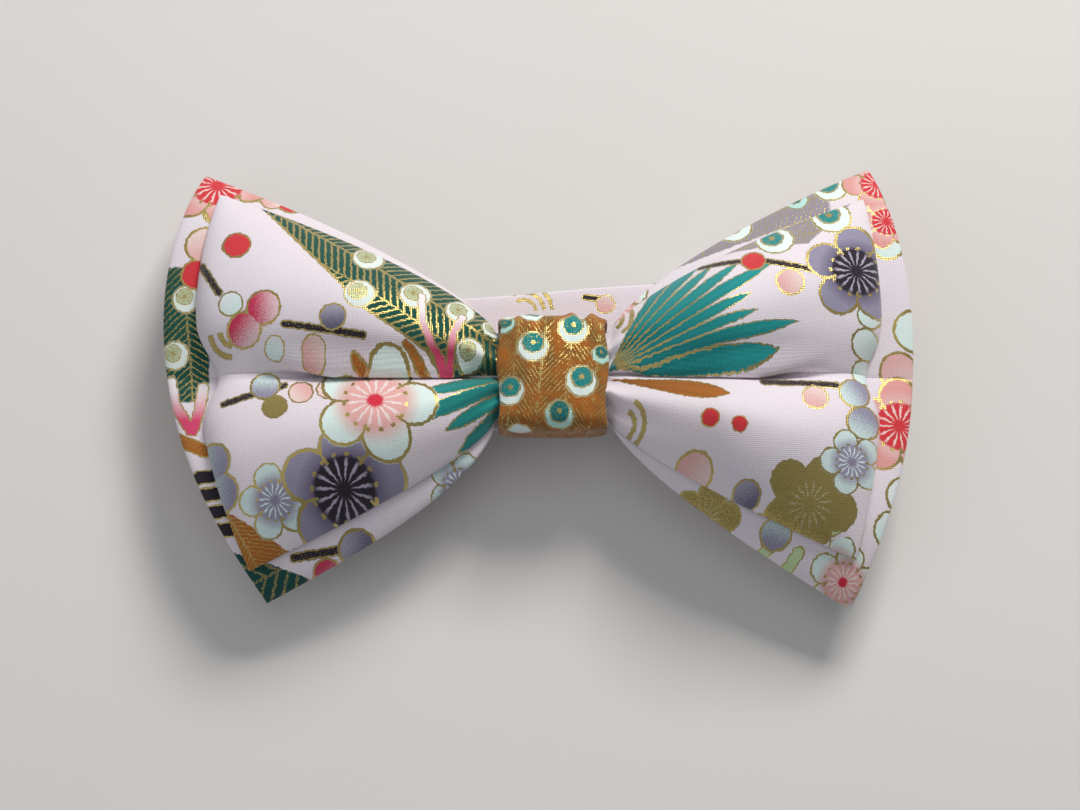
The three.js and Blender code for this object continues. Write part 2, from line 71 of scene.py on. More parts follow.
def add_camera():
    camera = add_object("camera", bpy.data.cameras.new("camera"))
    camera.data.lens = LENS
    camera.data.clip_start = 0.005
    away = FRAME_WIDTH * LENS / camera.data.sensor_width
    camera.location = (AIM + away * Vector((0, -math.cos(ELEVATION), math.sin(ELEVATION)))) * MM
    camera.rotation_euler = (math.pi / 2 - ELEVATION, 0, 0)
    bpy.context.scene.camera = camera


def add_light(name, place, size, watts, tint=(1, 1, 1)):
    light = add_object(name, bpy.data.lights.new(name, "AREA"))
    light.data.size, light.data.energy, light.data.color = size, watts, tint
    light.location = place
    light.rotation_euler = (-Vector(place)).to_track_quat("-Z", "Y").to_euler()


add_camera()
add_light("window", (0.20, 0.50, 0.46), 0.24, 4.4, (1.0, 0.98, 0.95))
add_light("fill", (-0.45, -0.25, 0.45), 0.60, 0.7, (0.93, 0.96, 1.0))
add_light("top", (0.0, 0.1, 0.75), 0.50, 0.6)

world = bpy.data.worlds.new("studio")
bpy.context.scene.world = world
world.use_nodes = True
background = world.node_tree.nodes["Background"]
background.inputs["Color"].default_value = (0.9, 0.93, 1.0, 1)
background.inputs["Strength"].default_value = 0.20
bpy.context.scene.view_settings.view_transform = "Standard"

# ---------------------------------------------------------------- shader values


class Value:
    """A number or colour in a material. Arithmetic on numbers adds Math nodes."""

    def __init__(self, finish, socket):
        self.finish, self.socket = finish, socket

    def math(self, operation, *others, clamp=False):
        settings = {"operation": operation, "use_clamp": clamp}
        return self.finish.node("ShaderNodeMath", settings, dict(enumerate((self, *others))))

    def __add__(self, other):
        return self.math("ADD", other)

    def __sub__(self, other):
        return self.math("SUBTRACT", other)

    def __mul__(self, other):
        return self.math("MULTIPLY", other)

    def __truediv__(self, other):
        return self.math("DIVIDE", other)

    def __rsub__(self, other):
        settings = {"operation": "SUBTRACT"}
        return self.finish.node("ShaderNodeMath", settings, {0: other, 1: self})

    __radd__ = __add__

    def below(self, edge, soft):
        """1 under the edge, 0 over it, with a ramp soft wide between."""
        return self.math("MULTIPLY_ADD", -1 / soft, edge / soft + 0.5, clamp=True)

    def above(self, edge, soft):
        return self.math("MULTIPLY_ADD", 1 / soft, 0.5 - edge / soft, clamp=True)

    def near(self, middle, width, soft):
        """1 within width of the middle value."""
        return (self - middle).math("ABSOLUTE").below(width, soft)

    def least(self, other):
        return self.math("MINIMUM", other)

    def most(self, other):
        return self.math("MAXIMUM", other)


class Finish:
    """A material under construction."""

    def __init__(self, name):
        self.material = bpy.data.materials.new(name)
        self.material.use_nodes = True
        self.tree = self.material.node_tree
        self.surface = self.tree.nodes["Principled BSDF"]

    def node(self, kind, settings=None, values=None, output=0):
        node = self.tree.nodes.new(kind)
        for key, setting in (settings or {}).items():
            setattr(node, key, setting)
        for key, value in (values or {}).items():
            self.feed(value, node.inputs[key])
        return Value(self, node.outputs[output])

    def feed(self, value, socket):
        if isinstance(value, Value):
            self.tree.links.new(value.socket, socket)
        else:
            socket.default_value = value

    def give(self, name, value):
        """Feeds a value into the surface."""
        self.feed(value, self.surface.inputs[name])

    def bump(self, height, strength, depth):
        """Relief from a height; depth is in metres."""
        values = {"Height": height, "Strength": strength, "Distance": depth}
        self.give("Normal", self.node("ShaderNodeBump", values=values))

    def on_cloth(self):
        """Place on the flat cloth, in mm from the knot's middle."""
        return self.node("ShaderNodeUVMap", {"uv_map": "cloth"})

    def on_piece(self):
        """Place in the piece's own axes, in metres."""
        return self.node("ShaderNodeTexCoord", output=3)

    def vector(self, operation, *parts, output=0):
        settings = {"operation": operation}
        return self.node("ShaderNodeVectorMath", settings, dict(enumerate(parts)), output)

    def length(self, vector):
        return self.vector("LENGTH", vector, output=1)

    def split(self, vector):
        parts = self.node("ShaderNodeSeparateXYZ", values={0: vector}).socket.node.outputs
        return [Value(self, socket) for socket in parts]

    def turned(self, vector, place, turn):
        """The vector seen from a place, in axes turned by an angle."""
        settings = {"vector_type": "TEXTURE"}
        values = {0: vector, 1: (*place, 0), 2: (0, 0, turn)}
        return self.node("ShaderNodeMapping", settings, values)

    def noise(self, vector, scale, detail=2.0, rough=0.5):
        values = {"Vector": vector, "Scale": scale, "Detail": detail, "Roughness": rough}
        return self.node("ShaderNodeTexNoise", {"noise_dimensions": "2D"}, values)

    def mix(self, share, first, second):
        """Colours first and second in proportion."""
        first, second = (c if isinstance(c, Value) else (*c, 1) for c in (first, second))
        return self.node("ShaderNodeMix", {"data_type": "RGBA"}, {0: share, 6: first, 7: second}, 2)

    def between(self, share, first, second):
        """Numbers first and second in proportion."""
        return self.node("ShaderNodeMix", {"data_type": "FLOAT"}, {0: share, 2: first, 3: second})

    def choice(self, index, colours):
        """The colour whose place in the list is index."""
        node = self.tree.nodes.new("ShaderNodeValToRGB")
        ramp = node.color_ramp
        ramp.interpolation = "CONSTANT"
        while len(ramp.elements) < len(colours):
            ramp.elements.new(1)
        for place, colour in enumerate(colours):
            ramp.elements[place].position = place / len(colours)
            ramp.elements[place].color = (*colour, 1)
        self.feed((index + 0.5) / len(colours), node.inputs[0])
        return Value(self, node.outputs[0])


GOLD = (0.50, 0.385, 0.13)
OLD_GOLD = (0.27, 0.20, 0.06)
LILAC_WHITE = (0.76, 0.70, 0.765)
MINT = (0.68, 0.83, 0.79)
VIOLET = (0.29, 0.27, 0.37)
RED = (0.62, 0.035, 0.045)
TEAL = (0.0, 0.155, 0.155)
GREEN = (0.003, 0.072, 0.050)
OLIVE = (0.235, 0.185, 0.045)
BROWN = (0.40, 0.125, 0.012)
INK = (0.018, 0.012, 0.022)
GREY = (0.30, 0.275, 0.34)
CRIMSON = (0.66, 0.06, 0.15)
ROSE_WHITE = (0.84, 0.78, 0.80)
LEAF_GREEN = (0.52, 0.66, 0.36)
THREAD_PITCH = 0.30  # between two threads of the weave, mm

# Each kind of blossom: its petals' rims, its petals, its eye, the eye's rays and its centre.
BLOSSOMS = (
    (VIOLET, (0.12, 0.10, 0.17), INK, (0.42, 0.38, 0.48), INK),
    ((0.70, 0.84, 0.80), (0.72, 0.36, 0.34), (0.75, 0.40, 0.38), (0.82, 0.72, 0.70),
     (0.62, 0.02, 0.05)),
    ((0.72, 0.33, 0.31), (0.76, 0.50, 0.48), RED, (0.85, 0.60, 0.56), RED),
    (OLIVE, OLIVE, OLIVE, (0.6, 0.55, 0.4), OLIVE),
    ((0.62, 0.76, 0.74), (0.30, 0.28, 0.38), (0.30, 0.28, 0.38), MINT, (0.25, 0.22, 0.32)))
# Each kind of berry or single petal: its body and its pale side.
BERRIES = (
    (RED, RED), ((0.74, 0.42, 0.40), (0.80, 0.62, 0.58)), ((0.14, 0.13, 0.20), (0.36, 0.34, 0.42)),
    (OLIVE, OLIVE), (MINT, (0.76, 0.80, 0.80)), ((0.28, 0.26, 0.36), (0.60, 0.74, 0.72)),
    ((0.56, 0.03, 0.09), (0.78, 0.56, 0.60)))
# Each kind of feather eye: its core and its ring.
EYES = (((0.50, 0.66, 0.46), (0.74, 0.82, 0.77)), ((0.0, 0.24, 0.24), (0.76, 0.87, 0.83)),
        (TEAL, (0.45, 0.72, 0.66)))
SOLID_GOLD = 3  # the kind of blossom and of berry that is all old gold
PETALS = 5
HALF_PETAL = 0.628  # angle between a petal's middle and its side
PETAL_OUT, PETAL_ROUND = 0.60, 0.385  # a petal's middle and radius, in blossom radii
EYE_EDGE = 0.42  # where a blossom's eye ends, in blossom radii
RAYS = 15  # in a blossom's eye
LEAF_WIDE = 0.52  # half a leaf of a fan, as a share of its own angle


class Print:
    """Layers of printed motifs over a ground colour. A layer covers what lies under it."""

    def __init__(self, finish, ground):
        self.f = finish
        uv = finish.on_cloth()
        wobble = finish.node("ShaderNodeTexNoise", {"noise_dimensions": "2D"},
                             {"Vector": uv, "Scale": 1.3, "Detail": 2.0}, 1)
        drift = finish.vector("MULTIPLY_ADD", wobble, (0.5, 0.5, 0), (-0.25, -0.25, 0))
        self.at = finish.vector("ADD", uv, drift)
        self.flat = uv
        self.grain = finish.noise(uv, 4.5, 2.0, 0.7)
        self.colour = ground
        self.gold = 0.0

    def lay(self, cover, fill, line=0.0):
        self.colour = self.f.mix(cover, self.colour, fill)
        self.gold = self.f.between(cover, self.gold, line)

    def chosen(self, motifs):
        """The vector to the nearest motif's middle in its own radius, its kind and its turn.
        A motif is (x, y, radius, kind, turn): x and y in mm, the turn as a share of a full one."""
        nearest = best = None
        for x, y, radius, kind, turn in motifs:
            code = (kind + 0.1 + 0.8 * (turn % 1)) / 1000
            offset = self.f.vector("MULTIPLY_ADD", self.at, (1 / radius, 1 / radius, 0),
                                   (-x / radius, -y / radius, code))
            reach = self.f.length(offset)
            if best is None:
                nearest, best = offset, reach
                continue
            closer = reach.math("LESS_THAN", best)
            best = reach.least(best)
            nearest = self.f.node("ShaderNodeMix", {"data_type": "VECTOR"},
                                  {0: closer, 4: nearest, 5: offset}, 1)
        x, y, code = self.f.split(nearest)
        code = code * 1000
        kind = code.math("FLOOR")
        return x, y, best, kind, (code - kind - 0.1) * (2 * math.pi / 0.8)

    def blossoms(self, motifs):
        """Five round petals, a ray-marked eye with gold dots, and gold outlines."""
        f = self.f
        x, y, reach, kind, turn = self.chosen(motifs)
        angle = y.math("ARCTAN2", x) + turn
        share = (angle * (PETALS / (2 * math.pi))).math("FRACT") - 0.5
        across = share * (2 * math.pi / PETALS)
        px, py = reach * across.math("COSINE"), reach * across.math("SINE")
        petal = ((px - PETAL_OUT) * (px - PETAL_OUT) + py * py).math("SQRT") - PETAL_ROUND
        edge = petal.least(reach - 0.45)
        cover = edge.below(0.02, 0.02)
        outline = edge.near(-0.01, 0.028, 0.02)
        split = (HALF_PETAL - across.math("ABSOLUTE")) * reach
        veins = split.below(0.022, 0.02) * reach.above(EYE_EDGE, 0.05)
        ray = (angle * RAYS).math("SINE")
        rays = ray.above(0.62, 0.5) * reach.above(0.14, 0.08) * reach.below(EYE_EDGE, 0.1)
        dots = ray.above(0.45, 0.3) * reach.near(0.50, 0.028, 0.02)
        rim, body, eye, bright, centre = (f.choice(kind, colours) for colours in zip(*BLOSSOMS))
        speckle = self.grain * 0.5
        fill = f.mix(reach.below(0.62, 0.25) * (0.6 + speckle), rim, body)
        fill = f.mix((reach + self.grain * 0.08).below(0.52, 0.05), fill, eye)
        fill = f.mix(reach.below(0.13, 0.05), fill, centre)
        fill = f.mix(rays, fill, bright)
        solid = kind.near(SOLID_GOLD, 0.3, 0.1)
        line = outline.most(veins).most(dots).most(solid * 0.55)
        self.lay(cover, fill, line)

    def berries(self, motifs):
        """Round fruit and single petals, each with a gold rim."""
        f = self.f
        x, y, reach, kind, turn = self.chosen(motifs)
        side = (x * turn.math("COSINE") + y * turn.math("SINE")) * 0.5 + 0.5
        body, tip = (f.choice(kind, colours) for colours in zip(*BERRIES))
        fill = f.mix((side + self.grain * 0.8 - 0.4).above(0.55, 0.6), body, tip)
        line = reach.near(0.93, 0.075, 0.05).most(kind.near(SOLID_GOLD, 0.3, 0.1) * 0.6)
        self.lay(reach.below(1.0, 0.05), fill, line)

    def stems(self, strokes, wide, fill, core=0.0):
        """Straight strokes between two points, outlined in gold; core is their share of gold flecks."""
        f = self.f
        nearest = None
        for x0, y0, x1, y1 in strokes:
            local = f.turned(self.at, (x0, y0), math.atan2(y1 - y0, x1 - x0))
            along = f.vector("MAXIMUM", local, (0, 0, 0))
            along = f.vector("MINIMUM", along, (math.hypot(x1 - x0, y1 - y0), 0, 0))
            reach = f.vector("DISTANCE", local, along, output=1)
            nearest = reach if nearest is None else nearest.least(reach)
        line = nearest.near(wide, 0.12, 0.12)
        if core:
            line = line.most(nearest.below(wide, 0.1) * self.grain.above(0.6, 0.1) * core)
        self.lay(nearest.below(wide + 0.12, 0.1), fill, line)

    def fan(self, root, long, start, end, leaves, deep, light):
        """Long pointed leaves from one root, between two angles in degrees."""
        f = self.f
        start, end = math.radians(start), math.radians(end)
        facing = (start + end) / 2
        x, y, _ = f.split(f.turned(self.at, root, facing))
        reach = (x * x + y * y).math("SQRT")
        place = (y.math("ARCTAN2", x) + (end - start) / 2) * (leaves / (end - start))
        leaf = place.math("FLOOR")
        side = (place - leaf - 0.5).math("ABSOLUTE")
        own = (leaf * 1.9).math("SINE") * 0.12 + 0.88
        share = reach / (own * long)
        width = LEAF_WIDE - share.math("POWER", 5.5) * LEAF_WIDE
        gap = (width - side) * reach * ((end - start) / leaves)
        inside = place.above(0, 0.02) * place.below(leaves, 0.02)
        cover = gap.above(-0.02, 0.1) * inside * share.below(1, 0.02)
        streak = (side * 21).math("SINE") * 0.14 + self.grain * 0.3
        fill = f.mix(share * 0.75 + streak, deep, light)
        line = gap.below(0.17, 0.1) * reach.above(1.5, 1) * self.grain.above(0.36, 0.16)
        self.lay(cover, fill, line)

    def feather(self, cover, spine, turn, deep, gold=0.8, pitch=1.35, slant=0.75, half=4.6):
        """Barbs in gold chevrons along a spine, where cover is 1."""
        x, y, _ = self.f.split(self.f.turned(self.at, spine, math.radians(turn)))
        row = y / (2 * half)
        side = (row - row.math("ROUND")).math("ABSOLUTE") * (2 * half)
        barb = ((x - side * slant) / pitch).math("FRACT").near(0.5, 0.17, 0.12)
        ribs = side.below(0.22, 0.14).most(side.near(half, 0.14, 0.12))
        line = barb.most(ribs) * self.grain.above(0.36, 0.18) * gold
        self.lay(cover, deep, line)

    def eyes(self, motifs, size=0.53, place=(-0.13, 0.16)):
        """Feather eyes: a core, a pale ring and a gold edge.
        Size and place are the core's, in ring radii."""
        f = self.f
        x, y, reach, kind, _ = self.chosen(motifs)
        x, y = x - place[0], y - place[1]
        inner = (x * x + y * y).math("SQRT") + self.grain * 0.16 - 0.08
        core, ring = (f.choice(kind, colours) for colours in zip(*EYES))
        fill = f.mix(inner.below(size, 0.08), ring, core)
        line = inner.near(size + 0.04, 0.05, 0.06).most(reach.near(0.97, 0.06, 0.06))
        line = line.most(inner.below(0.16, 0.1))
        line = line.most(inner.below(size, 0.2) * (kind.below(0.5, 0.1) * 0.22 + 0.3))
        self.lay(reach.below(1.03, 0.05), fill, line * self.grain.above(0.30, 0.2))

    def arcs(self, place, turn, rings, step, spread):
        """Broad gold arcs round one point."""
        x, y, _ = self.f.split(self.f.turned(self.at, place, math.radians(turn)))
        reach = (x * x + y * y).math("SQRT")
        ring = (reach / step).math("FRACT").near(0.5, 0.24, 0.1)
        inside = reach.above(step, 0.1) * reach.below(rings * step, 0.1)
        fan = y.math("ARCTAN2", x).math("ABSOLUTE").below(math.radians(spread), 0.05)
        self.lay(ring * inside * fan, OLD_GOLD, 0.65)

    def done(self):
        """Feeds the layers, the metallic gold and the weave into the surface."""
        f = self.f
        fleck = f.noise(self.flat, 5.0, 1.5, 0.8)
        metal = (fleck + self.gold * 0.8 - 0.9).above(0, 0.12)
        x, y, _ = f.split(self.flat)
        warp = (x * (math.pi / THREAD_PITCH)).math("SINE").math("ABSOLUTE")
        weft = (y * (math.pi / THREAD_PITCH)).math("SINE").math("ABSOLUTE")
        weave = warp + weft - 1
        shade = weave * 0.06 + self.grain * 0.22 + 0.87
        lit = f.mix(metal, self.colour, GOLD)
        toned = f.node("ShaderNodeHueSaturation", values={"Value": shade, "Color": lit})
        f.give("Base Color", toned)
        f.give("Metallic", metal * 0.75)
        f.give("Roughness", 0.82 - metal * 0.50 + weave * 0.03)
        slub = f.noise(self.flat, 2.2, 3.0, 0.6)
        height = weave * 0.4 + fleck * 0.6 + slub * 0.5
        f.bump(height, 0.4, 0.00012)
        f.give("Sheen Weight", 0.25)
        f.give("Sheen Roughness", 0.45)
        f.give("Specular IOR Level", 0.30)
        return f.material


def pale_ground(f):
    """Lilac-white cotton with a faint warm drift."""
    uv = f.on_cloth()
    return f.mix(f.noise(uv, 0.05, 2.0).above(0.5, 0.5), LILAC_WHITE, (0.775, 0.70, 0.735))


def front_print():
    f = Finish("front_print")
    p = Print(f, pale_ground(f))
    x, y, _ = f.split(p.at)
    left = x.below(-7, 0.3)
    upper = (y - 27 + (x + 45.8) * 1.12).above(0, 0.15) * (y - 8 + (x + 28.8) * 0.61).above(0, 0.15)
    p.feather(left * upper, (-44, 27), -33, GREEN, 0.92, 1.25, 0.75, 4.6)
    p.stems(((-45.6, 27, -29.4, 8.4), (-29.4, 8.4, -9, -4.1)), 0.10, OLD_GOLD)
    grey = (y - 19.7 - (x - 28) * 0.06).above(0, 0.2) * x.above(26.2, 0.3)
    grey = grey * (x - (y - 20) * 0.9).below(40, 0.4)
    p.feather(grey, (28, 23.6), 12, GREY, 0.8, 0.85, -0.8, 3.6)
    p.eyes(((-29.2, 18.4, 2.5, 0, 0), (-30.2, 11.0, 2.5, 0, 0), (-21.6, 11.6, 2.5, 0, 0),
        (-14.6, 9.6, 2.3, 0, 0), (-13.0, 2.6, 2.3, 0, 0), (-9.4, 7.2, 1.8, 0, 0),
        (35.3, 21.5, 3.0, 1, 0), (44.6, 26.0, 3.2, 1, 0)))
    p.fan((8.6, 0.2), 31, 3, 62, 9, TEAL, (0.01, 0.30, 0.30))
    p.fan((1.4, 2.4), 27.5, 193, 236, 5, (0.0, 0.10, 0.10), (0.01, 0.27, 0.25))
    p.arcs((-50, 6.2), 225, 3, 1.6, 38)
    p.arcs((8.8, 9.2), 20, 3, 1.5, 75)
    p.arcs((10.6, -8.4), -25, 3, 1.5, 80)
    p.arcs((50.2, 7), 5, 2, 1.6, 50)
    p.stems(((-55.8, 17.4, -52.6, 12.2), (-42, 6.4, -29.6, 4.3), (-51.6, -5.4, -42, -2.6),
        (-41.2, -28.6, -32.4, -26.9), (23.4, 17.2, 32, 17.3), (32, 17.3, 41, 15.4),
        (33, -2.2, 44.6, -2.4), (25.6, -21.6, 34, -23.2)), 0.52, INK, 0.5)
    p.stems(((-31, 2.2, -24.8, -0.6), (-23, 3.4, -18.8, -0.2)), 0.5, BROWN, 0.7)
    p.fan((8.6, -1.0), 22, -19, -4, 1, (0.20, 0.075, 0.014), BROWN)
    ribbon = f.mix(y.above(5.6, 6), CRIMSON, ROSE_WHITE)
    p.stems(((-20.6, 11.6, -20.4, 7.0), (-20.4, 7.0, -18.9, 3.2), (-18.9, 3.2, -16.6, 0.4),
        (-14.2, 8.4, -15.6, 5.4), (-15.6, 5.4, -16.4, -0.4)), 0.62, ribbon)
    p.stems(((46, -18.6, 42.8, -23.2), (45.4, -24.6, 40.6, -26.6), (38.6, -28.6, 36.2, -32.2)),
        0.62, LEAF_GREEN)
    p.berries(((-50.1, 20.4, 2.4, 0, 0), (-34.3, 7.2, 2.2, 2, 0.25), (-37.4, 2.8, 2.0, 1, 0.1),
        (-50.6, 10.2, 2.1, 4, 0.4), (-45.3, 9.2, 2.9, 6, 0), (-48.4, 6.0, 2.9, 6, 0.9),
        (-43.6, 3.2, 1.7, 4, 0.2), (-45.1, -2.6, 2.5, 5, 0.25), (-43.4, -6.4, 2.1, 3, 0),
        (-39.4, -4.0, 2.1, 1, 0.6), (-35.0, -3.4, 2.1, 1, 0.5), (-53.4, -14.6, 3.2, 5, 0.5),
        (-52.0, -19.4, 3.2, 5, 0.5)))
    p.berries(((31.6, 17.2, 2.0, 0, 0), (37.2, 13.2, 2.4, 1, 0.05), (50.0, 8.8, 2.2, 4, 0),
        (49.4, 4.4, 2.5, 4, 0.5), (49.2, 0.2, 2.1, 4, 0.1), (41.0, -4.8, 2.2, 1, 0.2),
        (47.4, -3.6, 2.7, 5, 0.6), (48.6, -8.6, 2.9, 5, 0.7), (22.0, -16.2, 3.1, 1, 0.9),
        (20.4, -19.6, 2.4, 1, 0.4), (30.2, -19.9, 2.3, 2, 0.3), (24.4, -8.8, 1.5, 0, 0),
        (28.9, -9.9, 1.3, 0, 0)))
    patch = (y + 21.5 + (x + 52) * 0.62).below(0, 0.2) * x.below(-40.5, 0.4)
    p.feather(patch, (-50, -24), -60, BROWN, 0.62, 0.7)
    p.blossoms(((-43.2, -21.0, 5.8, 4, 0.2), (-38.4, -30.0, 3.4, 2, 0.7), (48.0, 15.8, 8.4, 0, 0.05),
        (40.0, -21.4, 7.6, 3, 0.33), (30.2, -26.6, 4.2, 3, 0.8), (44.2, -31.0, 5.4, 1, 0.5)))
    p.blossoms(((-32.4, -19.4, 10.0, 0, 0.45), (46.6, -15.0, 5.2, 4, 0.6)))
    p.blossoms(((-27.6, -6.0, 9.8, 1, 0.1),))
    return p.done()


def rear_print():
    f = Finish("rear_print")
    p = Print(f, pale_ground(f))
    x, y, _ = f.split(p.at)
    left_side = x.below(-40, 0.3)
    p.feather(left_side * y.near(7, 11, 0.3) * x.below(-54.5, 0.3), (-58, 8), -85, GREEN, 0.6, 1.1)
    lower = (y + 28.6 + (x + 48) * 0.32).below(0, 0.2) * x.below(-34, 0.4)
    p.feather(lower, (-46, -32), 205, (0.0, 0.06, 0.052), 0.55, 2.1, 0.9, 5.5)
    grey = (y - 17.5 - (x - 18) * 0.37).above(0, 0.2) * x.above(14, 0.3) * x.below(44.6, 0.4)
    p.feather(grey, (20, 22), 21, GREY, 0.62, 0.85, -0.8, 3.6)
    ribbon = f.mix(y.above(-4.5, 5), CRIMSON, ROSE_WHITE)
    p.stems(((-60.6, -0.4, -59.8, -4.4), (-59.8, -4.4, -57.2, -8.6), (-55.4, -1.6, -55.8, -5.2),
        (-55.8, -5.2, -56.8, -8.8)), 0.85, ribbon)
    p.stems(((-55.8, -16.4, -50.8, -16.0), (-55.8, -19.2, -50.6, -18.8), (-55.4, -22.0, -50.0, -21.6),
        (-54.6, -24.8, -48.6, -24.4)), 1.05, INK)
    p.stems(((-60, -9.8, -54.6, -12.2),), 1.0, BROWN, 0.8)
    p.stems(((52.4, 26.0, 55.4, 24.4), (-40.6, -28.8, -33, -27.4), (20.4, -20.6, 27.6, -22.8)),
        0.6, INK, 0.5)
    p.stems(((-49.4, 32.0, -46.8, 31.4),), 1.7, (0.58, 0.70, 0.42))
    p.stems(((38.6, -28.0, 36.0, -31.6), (34.8, -26.4, 31.4, -29.4)), 0.9, LEAF_GREEN)
    p.eyes(((-58.3, 12.6, 2.3, 0, 0), (-60.0, 3.6, 2.3, 0, 0), (29.2, 25.4, 2.9, 1, 0),
        (45.0, 32.8, 3.0, 1, 0), (39.4, 30.4, 2.0, 2, 0)))
    p.berries(((-55.6, 21.6, 3.3, 1, 0.3), (-56.8, 16.6, 2.6, 0, 0), (-53.4, 27.8, 3.0, 4, 0),
        (-42.2, 30.4, 2.6, 0, 0.2), (-45.2, 30.6, 2.2, 1, 0), (55.0, 1.0, 3.3, 1, 0.8),
        (57.6, 7.6, 3.6, 4, 0.1), (53.4, 22.2, 3.2, 4, 0.2), (55.4, -19.2, 3.2, 4, 0.4),
        (53.4, -24.6, 3.2, 4, 0.2), (-58.4, -17.4, 1.9, 0, 0), (-56.4, -21.8, 1.9, 0, 0)))
    p.berries(((-30.6, -27.4, 3.2, 2, 0.5), (-35.4, -31.0, 2.4, 6, 0.85), (-32.0, -31.8, 2.3, 6, 0.8),
        (-28.9, -31.6, 2.0, 6, 0.75), (35.0, -25.2, 2.6, 5, 0.2)))
    p.blossoms(((-54.2, 33.0, 8.4, 2, 0.1), (52.6, 33.0, 5.8, 2, 0.4), (53.6, 25.8, 5.0, 2, 0.8),
        (54.8, -8.0, 8.2, 2, 0.25), (10.0, 12.0, 6.0, 1, 0.2), (24.0, -22.4, 5.6, 3, 0.1),
        (45.6, -32.4, 5.8, 1, 0.5), (-14.6, -17.4, 5.2, 4, 0.3)))
    return p.done()


def strap_print():
    f = Finish("strap_print")
    p = Print(f, pale_ground(f))
    p.arcs((-4, 8), 60, 4, 1.3, 60)
    p.arcs((-38, -2), 200, 3, 1.5, 60)
    p.arcs((74, 3), 20, 3, 1.5, 60)
    p.stems(((6, 9.6, 10, 8.8), (-64, 4, -56, 2), (52, -5, 61, -3), (110, 3, 118, 5),
        (-120, -4, -112, -6)), 0.45, INK, 0.5)
    p.berries(((9.2, 8.2, 1.6, 1, 0.2), (-60, 0, 1.9, 0, 0), (57, -1, 1.9, 1, 0.2),
        (114, 0, 1.8, 2, 0)))
    p.blossoms(((-22, 3, 7, 4, 0.2), (34, -3, 7.5, 2, 0.2), (-84, -3, 7.5, 0, 0.1), (92, 2, 7, 1, 0.4),
        (-140, 2, 7, 2, 0.5), (138, -2, 7, 0, 0.7)))
    return p.done()


def knot_print():
    f = Finish("knot_print")
    uv = f.on_cloth()
    drift = f.noise(uv, 0.30, 3.0)
    p = Print(f, f.mix(drift.above(0.5, 0.4), BROWN, (0.21, 0.095, 0.018)))
    broad = f.noise(uv, 0.26, 1.0).above(0.46, 0.10) * 0.35
    patches = broad + f.noise(uv, 0.9, 1.0).above(0.44, 0.2) * 0.5
    p.feather(1.0, (-1.8, 0), 84, p.colour, patches, 0.95, 1.3, 4.3)
    p.eyes(((-3.1, 3.5, 2.5, 1, 0), (3.2, 6.4, 2.4, 1, 0), (4.5, -2.1, 2.5, 1, 0),
        (-6.7, -3.5, 2.3, 1, 0), (1.0, -7.4, 2.3, 2, 0), (-3.3, 9.6, 2.0, 1, 0), (7.6, 2.4, 1.5, 2, 0),
        (-7.6, 7.6, 1.7, 2, 0), (0, 20, 2.4, 1, 0), (4, -20, 2.4, 1, 0)), 0.64, (0.02, 0.27))
    p.berries(((4.7, 9.9, 1.2, 4, 0), (-6.6, 10.2, 1.6, 4, 0), (-5.2, -10.6, 2.0, 4, 0)))
    return p.done()


def thread_finish():
    f = Finish("sewing_thread")
    x, y, z = f.split(f.on_piece())
    twist = ((x + y * 0.6 + z * 0.8) * 9000).math("SINE")
    f.give("Base Color", f.mix(twist.above(0, 1.6), (0.52, 0.45, 0.43), (0.74, 0.68, 0.66)))
    f.give("Roughness", 0.62 + twist * 0.1)
    f.bump(twist, 0.5, 0.00005)
    return f.material


def lining_finish():
    f = Finish("interfacing")
    at = f.on_piece()
    fibres = f.noise(f.vector("MULTIPLY", at, (1, 3.5, 1)), 1800.0, 4.0, 0.7)
    f.give("Base Color", f.mix(fibres.above(0.5, 0.5), (0.70, 0.69, 0.66), (0.86, 0.85, 0.82)))
    f.give("Roughness", 0.80 + fibres * 0.15)
    f.bump(fibres, 0.4, 0.00008)
    return f.material


def nickel_finish():
    f = Finish("nickel")
    at = f.on_piece()
    haze = f.noise(at, 260.0, 4.0, 0.6)
    marks = f.noise(f.vector("MULTIPLY", at, (1, 14, 3)), 900.0, 3.0, 0.7)
    f.give("Base Color", f.mix(haze.above(0.5, 0.6), (0.60, 0.595, 0.575), (0.71, 0.70, 0.68)))
    f.give("Metallic", 1.0)
    f.give("Roughness", 0.17 + haze * 0.14 + marks * 0.08)
    f.bump(marks, 0.12, 0.00004)
    return f.material


def floor_finish():
    f = Finish("floor")
    at = f.on_piece()
    cloud = f.noise(at, 6.0, 4.0)
    f.give("Base Color", f.mix(cloud, (0.70, 0.68, 0.655), (0.74, 0.725, 0.70)))
    f.give("Roughness", 0.78 + cloud * 0.1)
    return f.material


bpy.ops.mesh.primitive_plane_add(size=3, location=(0, 0, 0))
floor = bpy.context.object
floor.name = "floor"
floor.data.materials.append(floor_finish())

# ---------------------------------------------------------------- cloth from grids


def clamp(a, low=0.0, high=1.0):
    return np.clip(a, low, high)


def ease(a, low=0.0, high=1.0):
    t = clamp((a - low) / (high - low))
    return t * t * (3 - 2 * t)


def lerp(a, b, share):
    return a + (b - a) * share


def hump(a, middle, wide):
    """A smooth rise to 1 at a middle value."""
    return np.exp(-(((a - middle) / wide) ** 2))


def distances(path):
    """How far along a path each of its points lies."""
    return np.concatenate([[0], np.cumsum(np.hypot(*np.diff(path, axis=0).T))])


def normals(facing):
    """Unit vectors at right angles to a path's directions, on its left."""
    facing = facing / np.linalg.norm(facing, axis=1)[:, None]
    return np.stack([-facing[:, 1], facing[:, 0]], -1)


def pick(piece):
    """Makes a piece the only selected one, and active."""
    bpy.ops.object.select_all(action="DESELECT")
    bpy.context.view_layer.objects.active = piece
    piece.select_set(True)


